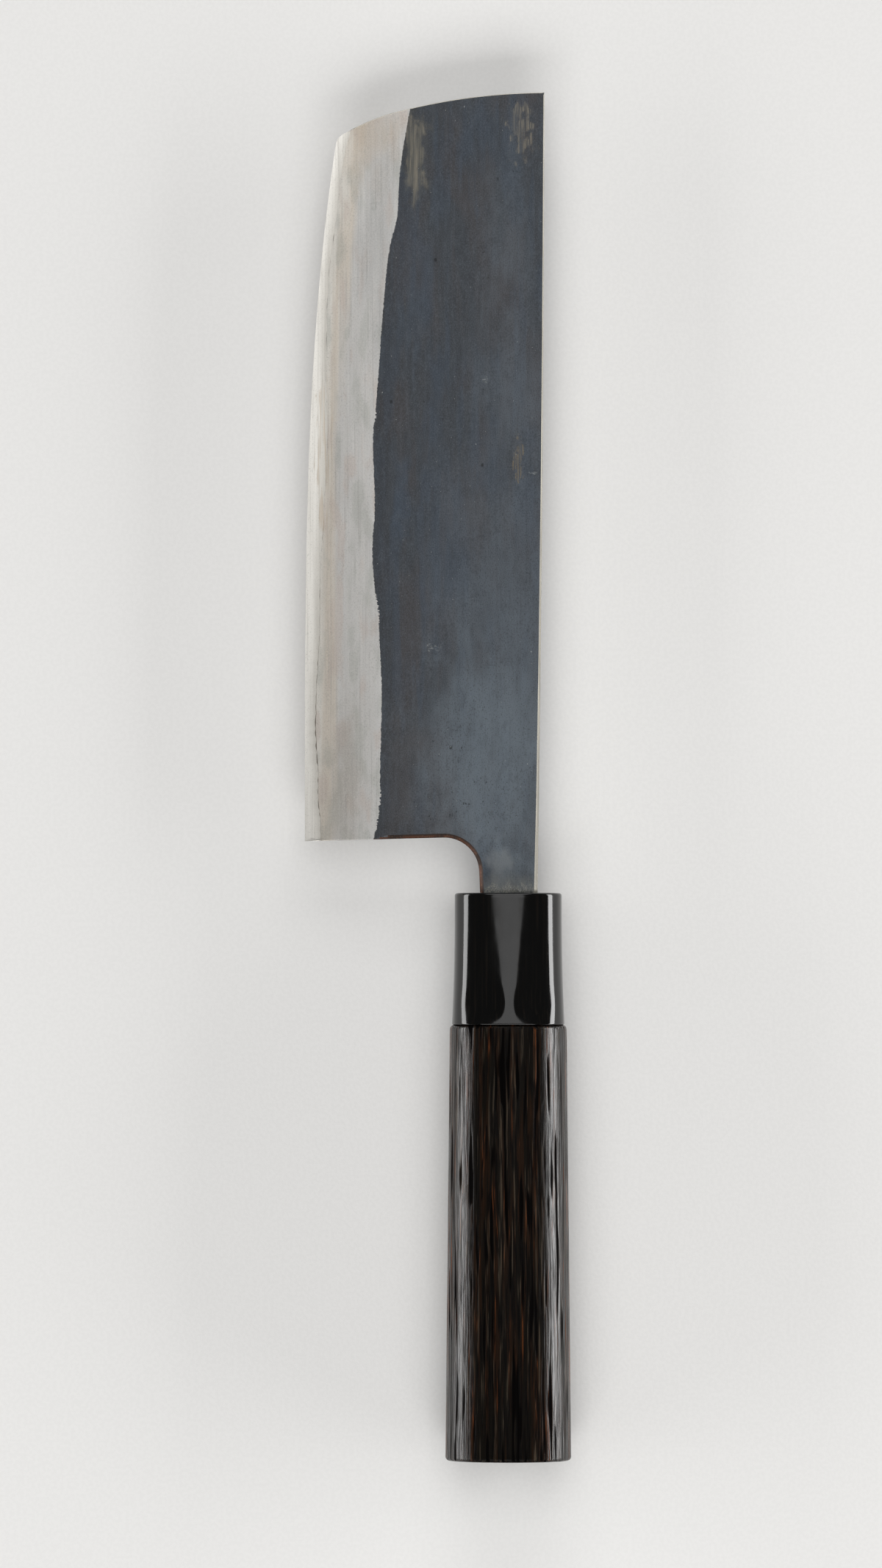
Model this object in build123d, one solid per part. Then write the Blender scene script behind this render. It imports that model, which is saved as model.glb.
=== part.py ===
from build123d import *
import os

os.makedirs("parts", exist_ok=True)

# All lengths are in millimetres. While the pieces are built, X runs from the ferrule's mouth to the tip,
# Y from the handle's axis to the cutting edge and Z from the middle of the steel to the left face.

# Blade outline
blade_length = 165.0
neck_length = 11.4
heel_depth = 44.8
edge_drop = 7.0
spine_rise_at_shoulder = 6.4
spine_rise_at_tip = 8.0
spine_bow = 0.3
nose_break_set_back = 4.3
nose_break_rise = 12.8
nose_corner_set_back = 10.0
nose_corner_radius = 3.0
heel_rake = 1.0
neck_depth_at_heel = 6.7
neck_depth_at_mouth = 6.2
heel_fillet_radius = 7.7

# How fast the cutting edge rises towards the nose: a power of the share of its length
belly_power = 3.4

# Steel thickness, measured across both faces
spine_thickness_at_mouth = 4.2
spine_thickness_at_tip = 1.9
bevel_top_thickness_at_heel = 3.1
core_thickness_share = 0.34
edge_land = 0.1

# Ground bevel: its height over the edge, and how the hand grinding varies it along the edge
bevel_height = 15.5
bevel_station_shares = (-0.10, 0.0, 0.16, 0.30, 0.45, 0.62, 0.78, 0.90, 1.0, 1.12)
bevel_height_shares = (0.97, 0.97, 1.08, 1.04, 0.95, 0.94, 1.0, 1.05, 1.03, 1.0)
core_reveal = 3.2

# Ground rims of the steel
spine_rim_chamfer = 0.25
heel_rim_chamfer = 0.6

# Tang, thinner than the neck from the ferrule's mouth on and narrower from its shoulders on
shoulder_seat_depth = 4.2
tang_length = 95.0
tang_width = 9.6
tang_end_width = 5.2
tang_thickness = 3.5
tang_end_thickness = 2.6

# Ferrule
ferrule_length = 29.0
ferrule_flare_length = 17.0
ferrule_flare_shares = (1.0, 0.6, 0.2)
ferrule_front_width = 23.6
ferrule_back_width = 24.8
ferrule_front_thickness = 18.0
ferrule_back_thickness = 19.0
ferrule_rim_radius = 0.6
neck_slot_clearance = 0.12

# Wooden handle
handle_length = 95.8
handle_front_width = 25.7
handle_butt_width = 27.7
handle_front_thickness = 19.6
handle_butt_thickness = 21.0
handle_shoulder_radius = 1.0
handle_butt_radius = 0.9

# Dowel and its glue line
dowel_diameter = 13.0
dowel_end_wall = 3.0
dowel_clearance = 0.1
dowel_bottom_clearance = 0.5
tang_slot_clearance = 0.3
tang_end_clearance = 2.0

# Cuts run past the solid by this much
overrun = 3.0

heel_x = neck_length
nose_x = heel_x + blade_length
edge_length = blade_length - nose_corner_set_back
edge_end_x = heel_x + edge_length
butt_x = -(ferrule_length + handle_length)
shoulder_x = -shoulder_seat_depth
tang_end_x = -tang_length
tang_slot_end_x = tang_end_x - tang_end_clearance
dowel_end_x = tang_slot_end_x - dowel_end_wall


def edge_depth(x):
    """Depth of the cutting edge below the handle's axis at x."""
    share = max(x - heel_x, 0) / edge_length
    return heel_depth - edge_drop * share**belly_power


def plane_through(a, b, c):
    """Plane through three points, with its normal towards +Z."""
    normal = (b - a).cross(c - a)
    return Plane(origin=a, x_dir=b - a, z_dir=normal if normal.Z > 0 else -normal)


def height_on(plane, x, y):
    """Height of a plane over the middle of the steel at x, y."""
    n = plane.z_dir
    o = plane.origin
    return o.Z - (n.X * (x - o.X) + n.Y * (y - o.Y)) / n.Z


def layer_plane(share):
    """Plane at a share of the steel's half thickness: 1 is the forged face, less is the core's face."""
    return plane_through(
        Vector(0, -spine_rise_at_shoulder, share * spine_thickness_at_mouth / 2),
        Vector(nose_x, -spine_rise_at_tip, share * spine_thickness_at_tip / 2),
        Vector(heel_x, heel_depth - bevel_height, share * bevel_top_thickness_at_heel / 2),
    )


face_plane = layer_plane(1)
core_plane = layer_plane(core_thickness_share)


def spine_middle():
    """Highest point of the gently bowed spine, half way along it."""
    rise = (spine_rise_at_shoulder + spine_rise_at_tip) / 2 + spine_bow
    return Vector((shoulder_x + nose_x) / 2, -rise)


def neck_root():
    """Corner that the heel's fillet rounds, between heel and neck."""
    return Vector(heel_x + heel_rake, neck_depth_at_heel)


def neck_end():
    """Where the neck's lower edge, carried on straight through the mouth, meets the shoulder."""
    mouth = Vector(0, neck_depth_at_mouth)
    return mouth + (mouth - neck_root()) * (shoulder_seat_depth / neck_root().X)


def steel_outline():
    """Outline of blade, neck and tang, seen on the left face."""
    spine_start = Vector(shoulder_x, -spine_rise_at_shoulder)
    spine_end = Vector(nose_x, -spine_rise_at_tip)
    nose_corner = Vector(edge_end_x, edge_depth(edge_end_x))
    nose_break = Vector(nose_x - nose_break_set_back, nose_corner.Y - nose_break_rise)
    heel_corner = Vector(heel_x, heel_depth)

    spine = ThreePointArc(spine_start, spine_middle(), spine_end)
    upper_nose = TangentArc(spine_end, nose_break, tangent=(0, 1))
    lower_nose = TangentArc(nose_break, nose_corner, tangent=upper_nose % 1)
    edge_shares = [share for share in bevel_station_shares if 0 <= share <= 1]
    edge_xs = [heel_x + share * edge_length for share in edge_shares]
    edge_points = [Vector(x, edge_depth(x)) for x in edge_xs]
    edge = Spline(*edge_points)
    heel = FilletPolyline(heel_corner, neck_root(), neck_end(), radius=heel_fillet_radius)
    tang = Polyline(
        neck_end(),
        (shoulder_x, tang_width / 2),
        (tang_end_x, tang_end_width / 2),
        (tang_end_x, -tang_end_width / 2),
        (shoulder_x, -tang_width / 2),
        spine_start,
    )
    return make_face([spine, upper_nose, lower_nose, edge, heel, tang])


def steel_blank():
    """Flat bar of the full outline, thicker than the finished steel, with the nose corner rounded."""
    blank = extrude(steel_outline(), amount=spine_thickness_at_mouth, both=True)
    nose_corner = (edge_end_x, edge_depth(edge_end_x), 0)
    corner_edge = blank.edges().filter_by(Axis.Z).sort_by_distance(nose_corner)[0]
    return fillet(corner_edge, nose_corner_radius)


def ground_away(top_depth, top_plane, low_depth, low_height):
    """Tool that grinds everything outside a sloping surface, on the left face.

    The surface runs from top_depth(x) on top_plane to low_depth(x) at low_height(x, y).
    """
    sections = []
    for share in bevel_station_shares:
        x = heel_x + share * edge_length
        top = Vector(x, top_depth(share), height_on(top_plane, x, top_depth(share)))
        low = Vector(x, low_depth(share), low_height(x, low_depth(share)))
        fall = (low - top) / (low.Y - top.Y)
        outer_y = edge_depth(x) + overrun
        start = top - fall * overrun
        end = low + fall * (outer_y - low.Y)
        lift = Vector(0, 0, spine_thickness_at_mouth)
        sections.append(make_face(Polyline(start, end, end + lift * 2, start + lift * 2, close=True)))
    return loft(sections)


def depth_at_share(share):
    """Depth of the cutting edge at a share of its length, also a little past both ends."""
    return edge_depth(heel_x + share * edge_length)


def bevel_tool():
    """Grinds the bevel that runs from the forged face down to where the core comes out."""
    height_shares = dict(zip(bevel_station_shares, bevel_height_shares))
    return ground_away(
        lambda share: depth_at_share(share) - bevel_height * height_shares[share],
        face_plane,
        lambda share: depth_at_share(share) - core_reveal,
        lambda x, y: height_on(core_plane, x, y),
    )


def edge_tool():
    """Grinds the bare core from the joint line down to the cutting edge."""
    return ground_away(
        lambda share: depth_at_share(share) - core_reveal,
        core_plane,
        depth_at_share,
        lambda x, y: edge_land / 2,
    )


def tang_relief():
    """Thins the tang on the left face, from just outside the ferrule's mouth on."""
    half = tang_thickness / 2
    end_half = tang_end_thickness / 2
    fall = (half - end_half) / (tang_length + neck_slot_clearance)
    profile = Polyline(
        (neck_slot_clearance, 0, half),
        (tang_end_x - overrun, 0, end_half - fall * overrun),
        (tang_end_x - overrun, 0, spine_thickness_at_mouth),
        (neck_slot_clearance, 0, spine_thickness_at_mouth),
        close=True,
    )
    return extrude(make_face(profile), amount=heel_depth, dir=(0, 1, 0), both=True)


def core_steel(blank):
    """Hard steel core, bare along the cutting edge."""
    lower_half = split(blank, bisect_by=core_plane, keep=Keep.BOTTOM) - edge_tool()
    return lower_half & mirror(lower_half, about=Plane.XY)


def cladding_left(blank):
    """Soft iron layer on the left face, with its bevel."""
    layer = split(blank, bisect_by=face_plane, keep=Keep.BOTTOM)
    layer = split(layer, bisect_by=core_plane, keep=Keep.TOP)
    layer = layer - bevel_tool() - tang_relief()

    heel_middle = Vector(heel_x + heel_rake, (heel_depth - bevel_height + neck_depth_at_heel) / 2)
    neck_middle_x = (neck_root().X - heel_fillet_radius) / 2
    neck_middle = Vector(neck_middle_x, (neck_depth_at_mouth + neck_depth_at_heel) / 2)
    layer = broken_rim(layer, [spine_middle()], spine_rim_chamfer)
    return broken_rim(layer, [heel_middle, neck_root(), neck_middle], heel_rim_chamfer)


def on_face(point):
    """The point of the forged face over a point of the outline."""
    return Vector(point.X, point.Y, height_on(face_plane, point.X, point.Y))


def broken_rim(layer, near_points, size):
    """Chamfers the rims of the forged face that lie nearest to the given points of the outline."""
    forged_face = layer.faces().sort_by_distance(on_face(Vector(nose_x / 2, 0)))[0]
    rims = forged_face.outer_wire().edges()
    chosen = ShapeList(rims.sort_by_distance(on_face(point))[0] for point in near_points)
    return chamfer(chosen, size)


def across_axis(x):
    """Plane square to the handle's axis at x, with its own X across the knife's width."""
    return Plane(origin=(x, 0, 0), x_dir=(0, 1, 0), z_dir=(1, 0, 0))


def oval(x, width, thickness):
    """Oval section across the handle's axis at x."""
    return across_axis(x) * Ellipse(width / 2, thickness / 2)


def round_bar(x_front, x_back, radius):
    """Round bar on the handle's axis."""
    return extrude(across_axis(x_back) * Circle(radius), amount=x_front - x_back)


def dowel_bore(x_front, x_back):
    """Round hole for the dowel between two places on the axis."""
    return round_bar(x_front, x_back, dowel_diameter / 2 + dowel_clearance)


def neck_slot(blank):
    """Slot in the ferrule's front wall that the neck fits."""
    seated = split(blank, bisect_by=Plane.YZ, keep=Keep.BOTTOM).bounding_box()
    height = tang_thickness + 2 * neck_slot_clearance
    low_y = seated.min.Y - neck_slot_clearance
    width = seated.max.Y + neck_slot_clearance - low_y
    length = shoulder_seat_depth + overrun
    slot = Box(length, width, height, align=(Align.MIN, Align.MIN, Align.CENTER))
    return Pos(shoulder_x, low_y, 0) * slot


def ferrule(blank):
    """Glossy collar with a slot for the neck and a blind hole for the dowel."""
    sections = []
    for share in ferrule_flare_shares:
        x = -ferrule_length + (1 - share) * ferrule_flare_length
        width = ferrule_front_width + (ferrule_back_width - ferrule_front_width) * share**2
        growth = (ferrule_back_thickness - ferrule_front_thickness) * share**2
        sections.append(oval(x, width, ferrule_front_thickness + growth))
    sections.append(oval(0, ferrule_front_width, ferrule_front_thickness))
    body = loft(sections)
    front_rim = body.edges().group_by(Axis.X)[-1]
    body = fillet(front_rim, ferrule_rim_radius)
    bore = dowel_bore(shoulder_x, -ferrule_length - overrun)
    return body - bore - neck_slot(blank)


def handle():
    """Oval wooden handle with a blind hole for the dowel."""
    body = loft(
        [
            oval(butt_x, handle_butt_width, handle_butt_thickness),
            oval(-ferrule_length, handle_front_width, handle_front_thickness),
        ]
    )
    shoulder = body.edges().group_by(Axis.X)[-1]
    body = fillet(shoulder, handle_shoulder_radius)
    butt = body.edges().group_by(Axis.X)[0]
    body = fillet(butt, handle_butt_radius)
    return body - dowel_bore(-ferrule_length + overrun, dowel_end_x - dowel_bottom_clearance)


def tang_slot():
    """Tapered slot in the dowel, open at the front, with room for glue round the tang."""
    room = 2 * tang_slot_clearance
    end = Rectangle(tang_end_width + room, tang_end_thickness + room)
    mouth = Rectangle(tang_width + room, tang_thickness + room)
    return loft([across_axis(tang_slot_end_x) * end, across_axis(shoulder_x) * mouth])


def dowel():
    """Slotted dowel that joins the ferrule and the handle."""
    return round_bar(shoulder_x, dowel_end_x, dowel_diameter / 2) - tang_slot()


def tang_adhesive(steel):
    """Glue that fills the dowel's slot round the tang."""
    filling = tang_slot()
    for layer in steel:
        filling = filling - layer
    return filling


blank = steel_blank()
core = core_steel(blank)
left = cladding_left(blank)
right = mirror(left, about=Plane.XY)

pieces = {
    "core_steel": core,
    "cladding_left": left,
    "cladding_right": right,
    "ferrule": ferrule(blank),
    "handle": handle(),
    "dowel": dowel(),
    "tang_adhesive": tang_adhesive([core, left, right]),
}

# The finished part stands at the middle of its own box, with the handle's lowest line at Z zero
to_row_frame = Pos(
    -(nose_x + butt_x) / 2,
    -(heel_depth - handle_butt_width / 2) / 2,
    handle_butt_thickness / 2,
)

for name, piece in pieces.items():
    export_step(to_row_frame * piece, f"parts/{name}.step")
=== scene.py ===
"""Nakiri vegetable knife, dressed for the camera.

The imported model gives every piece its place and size. This script makes the visible skins of the
three-layer blade, the ferrule and the wooden handle as fine meshes, gives every piece its finish,
and lights the knife from above the way a small product table is lit.
"""

import logging
import math
from dataclasses import dataclass, field
from enum import Enum
from functools import cache

import bpy
import numpy as np
from mathutils import Matrix, Vector, noise
from mathutils.geometry import delaunay_2d_cdt


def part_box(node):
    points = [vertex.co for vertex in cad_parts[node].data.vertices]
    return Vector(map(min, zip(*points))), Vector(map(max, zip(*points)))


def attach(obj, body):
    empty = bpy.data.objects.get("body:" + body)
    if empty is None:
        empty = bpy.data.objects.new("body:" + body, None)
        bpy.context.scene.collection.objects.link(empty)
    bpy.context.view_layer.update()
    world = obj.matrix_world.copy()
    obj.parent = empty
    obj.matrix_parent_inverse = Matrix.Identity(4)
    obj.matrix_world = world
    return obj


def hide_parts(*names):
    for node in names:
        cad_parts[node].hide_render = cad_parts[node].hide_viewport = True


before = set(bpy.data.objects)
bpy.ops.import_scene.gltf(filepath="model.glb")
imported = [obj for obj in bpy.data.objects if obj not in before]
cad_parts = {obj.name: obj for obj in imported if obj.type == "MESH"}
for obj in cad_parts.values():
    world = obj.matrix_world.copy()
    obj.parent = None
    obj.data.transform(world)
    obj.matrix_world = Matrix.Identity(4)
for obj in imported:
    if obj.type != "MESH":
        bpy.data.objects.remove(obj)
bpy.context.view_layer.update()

log = logging.getLogger("nakiri")

METRES = 0.001
MILLIMETRES = 1000.0


def knife_origin() -> Vector:
    """Finds the point that the knife's own millimetres are counted from.

    Returns:
        The middle of the ferrule's mouth, on the handle's axis, in metres in the row frame.
    """
    ferrule_low, ferrule_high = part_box("ferrule")
    handle_low, handle_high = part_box("handle")
    return Vector((ferrule_high.x, (handle_low.y + handle_high.y) / 2, (handle_low.z + handle_high.z) / 2))


ORIGIN = knife_origin()


@cache
def node_box(node: str) -> tuple[Vector, Vector]:
    """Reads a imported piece's box in the knife's own millimetres.

    Args:
        node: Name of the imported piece.

    Returns:
        Its lowest and highest corner.
    """
    low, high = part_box(node)
    return (low - ORIGIN) * MILLIMETRES, (high - ORIGIN) * MILLIMETRES


def linear(hex_colour: str) -> tuple[float, float, float, float]:
    """Turns an sRGB hex colour into the linear values that shaders take.

    Args:
        hex_colour: Colour such as "#4A5058".

    Returns:
        Linear red, green and blue, and an alpha of 1.
    """
    shares = [int(hex_colour[at : at + 2], 16) / 255 for at in (1, 3, 5)]
    red, green, blue = (s / 12.92 if s <= 0.04045 else ((s + 0.055) / 1.055) ** 2.4 for s in shares)
    return red, green, blue, 1.0


def add_node(tree: bpy.types.NodeTree, kind: str, inputs: dict | None = None, **settings) -> bpy.types.Node:
    """Adds a node with its settings and links.

    Args:
        tree: Node tree that takes the node.
        kind: Blender's name for the node's type.
        inputs: Values by the input's name or number. A node or a socket is linked, a hex colour is
            turned to linear, and anything else is set as it is.
        **settings: Properties of the node itself.

    Returns:
        The new node.
    """
    node = tree.nodes.new(kind)
    for name, value in settings.items():
        setattr(node, name, value)
    for key, value in (inputs or {}).items():
        shown = (socket for socket in node.inputs if socket.enabled and socket.name == key)
        target = node.inputs[key] if isinstance(key, int) else next(shown)
        if isinstance(value, bpy.types.Node):
            value = next(socket for socket in value.outputs if socket.enabled)
        if isinstance(value, bpy.types.NodeSocket):
            tree.links.new(value, target)
        elif isinstance(value, str):
            target.default_value = linear(value)
        else:
            target.default_value = value
    return node


@dataclass(frozen=True)
class Streaks:
    """A pattern of soft noise, drawn out along the knife. Sizes are in mm.

    Args:
        along: Size of its grains along the knife.
        across: Size of its grains across the knife.
        detail: How many finer layers it has.
        shift: Moves the pattern, so that two of the same size differ.
        through: Size of its grains through the knife's thickness, or 0 for the size across.
    """

    along: float
    across: float
    detail: float = 2.0
    shift: float = 0.0
    through: float = 0.0


@dataclass(frozen=True)
class Patch:
    """A soft oval patch with an uneven rim on the photographed face. Sizes are in mm.

    Args:
        centre: Its middle, along and across the knife.
        reach: Half its length and half its width.
        ragged: How far its rim wanders, as a share of its reach.
        grain: Size of that wandering across the knife.
    """

    centre: tuple[float, float]
    reach: tuple[float, float]
    ragged: float = 0.5
    grain: float = 3.0


Source = bpy.types.NodeSocket | Streaks | Patch | str


class Recipe:
    """A finish while it is written: its node tree, and the place on the knife in millimetres."""

    def __init__(self, name: str) -> None:
        """Starts an empty material.

        Args:
            name: Common name of the real material.
        """
        self.material = bpy.data.materials.new(name)
        self.material.use_nodes = True
        self.tree = self.material.node_tree
        self.tree.nodes.clear()
        seen = add_node(self.tree, "ShaderNodeTexCoord").outputs["Object"]
        from_origin = self.vector("SUBTRACT", {0: seen, 1: ORIGIN})
        self.place = self.vector("SCALE", {0: from_origin, "Scale": MILLIMETRES}).outputs[0]
        self.values: dict[Streaks | Patch | str, bpy.types.NodeSocket] = {}

    def vector(self, operation: str, inputs: dict) -> bpy.types.Node:
        """Adds a sum on vectors."""
        return add_node(self.tree, "ShaderNodeVectorMath", inputs, operation=operation)

    def number(self, operation: str, inputs: dict) -> bpy.types.NodeSocket:
        """Adds a sum on numbers and gives its result."""
        return add_node(self.tree, "ShaderNodeMath", inputs, operation=operation).outputs[0]

    def read(self, source: Source) -> bpy.types.NodeSocket:
        """Turns a pattern, a patch or the name of a measure into a value.

        Args:
            source: What to read. The name is one that the mesh carries, and a socket stays as it is.

        Returns:
            Its value, which is the same socket each time that the same source is read.
        """
        if isinstance(source, bpy.types.NodeSocket):
            return source
        if source not in self.values:
            makers = {Streaks: self.streaks, Patch: self.patch, str: self.measure}
            self.values[source] = makers[type(source)](source)
        return self.values[source]

    def measure(self, name: str) -> bpy.types.NodeSocket:
        """Reads a measure that the mesh carries, by its name."""
        return add_node(self.tree, "ShaderNodeAttribute", attribute_name=name).outputs["Fac"]

    def streaks(self, pattern: Streaks) -> bpy.types.NodeSocket:
        """Draws a pattern.

        Args:
            pattern: Its sizes.

        Returns:
            A value round 0.5.
        """
        shares = (1 / pattern.along, 1 / pattern.across, 1 / (pattern.through or pattern.across))
        stretched = self.vector("MULTIPLY_ADD", {0: self.place, 1: shares, 2: (pattern.shift,) * 3})
        settings = {"Vector": stretched, "Scale": 1.0, "Detail": pattern.detail}
        return add_node(self.tree, "ShaderNodeTexNoise", settings).outputs[0]

    def patch(self, patch: Patch) -> bpy.types.NodeSocket:
        """Draws a patch.

        Args:
            patch: Its place and sizes.

        Returns:
            A value of 1 in the middle that falls to 0 at the rim and stays below outside.
        """
        (x, y), (length, width) = patch.centre, patch.reach
        middle, shares = (-x / length, -y / width, 0.0), (1 / length, 1 / width, 0.0)
        spread = self.vector("MULTIPLY_ADD", {0: self.place, 1: shares, 2: middle})
        away = self.vector("LENGTH", {0: spread}).outputs["Value"]
        wander = self.streaks(Streaks(patch.grain * 1.8, patch.grain, 4.0, x))
        # Noise keeps within a quarter of its middle, so four times it moves the rim by the ragged share
        swing = patch.ragged * 4
        uneven = self.number("MULTIPLY_ADD", {0: wander, 1: swing, 2: 1.0 - swing / 2})
        return self.number("SUBTRACT", {0: uneven, 1: away})

    def both(self, first: Source, second: Source) -> bpy.types.NodeSocket:
        """Keeps the smaller of two values, so that a mark shows only where both do."""
        return self.number("MINIMUM", {0: self.read(first), 1: self.read(second)})

    def unsigned(self, source: Source) -> bpy.types.NodeSocket:
        """Takes the sign off a value."""
        return self.number("ABSOLUTE", {0: self.read(source)})

    def share(
        self, source: Source, low: float, high: float, most: float, **settings: str
    ) -> bpy.types.Node:
        """Turns a value into a share that grows between two levels.

        Args:
            source: The value.
            low: Level at which the share is 0.
            high: Level at which it is full.
            most: The share when full.
            **settings: Properties of the node itself.

        Returns:
            The node that gives the share.
        """
        levels = {"From Min": low, "From Max": high, "To Min": 0.0, "To Max": most}
        return add_node(self.tree, "ShaderNodeMapRange", {"Value": self.read(source), **levels}, **settings)

    def coats(self, base: str | bpy.types.NodeSocket, layers: list[tuple]) -> bpy.types.NodeSocket:
        """Lays colours over each other.

        Args:
            base: The lowest colour.
            layers: Each has a colour, a source, where it starts to show, where it is full, and the most
                that it covers, from 0 to 1.

        Returns:
            The colour on top.
        """
        colour = base
        for over, source, low, high, most in layers:
            cover = self.share(source, low, high, most, interpolation_type="SMOOTHSTEP")
            inputs = {"Factor": cover, "A": colour, "B": over}
            mixed = add_node(self.tree, "ShaderNodeMix", inputs, data_type="RGBA")
            colour = next(socket for socket in mixed.outputs if socket.enabled)
        return colour

    def total(self, base: float | bpy.types.NodeSocket, parts: list[tuple]) -> bpy.types.NodeSocket:
        """Adds parts of other values to a value.

        Args:
            base: What they are added to.
            parts: Each has a source, where it starts to count, where it is full, and what it then adds.

        Returns:
            The sum.
        """
        value = base
        for source, low, high, amount in parts:
            value = self.number("ADD", {0: value, 1: self.share(source, low, high, amount)})
        return value

    def dress(
        self,
        colour: bpy.types.NodeSocket,
        roughness: bpy.types.NodeSocket,
        relief: bpy.types.NodeSocket,
        depth: float,
        metallic: float | bpy.types.NodeSocket = 0.0,
        **fixed: float | bpy.types.NodeSocket,
    ) -> bpy.types.Material:
        """Closes the recipe with one shader.

        Args:
            colour: Colour of the surface.
            roughness: How blurred its reflections are.
            relief: Height of its fine relief, from 0 to 1.
            depth: What a height of 1 is, in mm.
            metallic: 1 for bare metal, 0 for anything else.
            **fixed: More of the shader's sockets, with spaces in their names as underscores.

        Returns:
            The finished material.
        """
        bumped = add_node(
            self.tree, "ShaderNodeBump", {"Height": relief, "Strength": 1.0, "Distance": depth * METRES}
        )
        inputs = {"Base Color": colour, "Roughness": roughness, "Metallic": metallic, "Normal": bumped}
        inputs |= {name.replace("_", " "): value for name, value in fixed.items()}
        if "Coat Weight" in inputs:
            inputs["Coat Normal"] = bumped
        shader = add_node(self.tree, "ShaderNodeBsdfPrincipled", inputs)
        add_node(self.tree, "ShaderNodeOutputMaterial", {"Surface": shader})
        return self.material


# Stretch of a pattern's value that most finishes use, from its dark grains to its light ones
GRAIN_RANGE = (0.3, 0.7)

# The stone's frosting is finer than this in life, and is drawn coarser so that it shows
STONE_FROST = Streaks(0.3, 0.22, 2.0, 33.0)


@dataclass(frozen=True)
class JointLine:
    """Thin dark line where the core comes out of the cladding, and the wavy grain beside it."""

    line: str = "#857A6D"
    grain_beige: str = "#B9A995"
    grain_pale: str = "#D2CEC5"
    half_width: float = 0.13
    strength: Streaks = Streaks(7.0, 4.0, 3.0, 17.0)
    near_heel: Patch = Patch((26.0, 42.0), (34.0, 9.0))
    grain_zone: Patch = Patch((98.0, 40.6), (38.0, 4.2), 0.2)
    lenses: Streaks = Streaks(12.0, 0.5, 2.0, 23.0)
    long_lenses: Streaks = Streaks(16.0, 0.6, 2.0, 24.0)

    def draw(self, recipe: Recipe, colour: bpy.types.NodeSocket) -> bpy.types.NodeSocket:
        """Draws the line over the steel's colour.

        Args:
            recipe: The finish being written, whose mesh carries above_joint.
            colour: Colour of the steel there.

        Returns:
            The colour with the line.
        """
        shown = recipe.total(-0.15, [(self.strength, 0.35, 0.65, 0.5), (self.near_heel, 0.0, 0.6, 0.75)])
        thin = recipe.total(shown, [(recipe.unsigned("above_joint"), 0.0, self.half_width, -1.0)])
        return recipe.coats(
            colour,
            [
                (self.grain_beige, recipe.both(self.grain_zone, self.lenses), 0.5, 0.62, 0.55),
                (self.grain_pale, recipe.both(self.grain_zone, self.long_lenses), 0.5, 0.62, 0.4),
                (self.line, thin, 0.05, 0.7, 0.65),
            ],
        )


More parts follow.
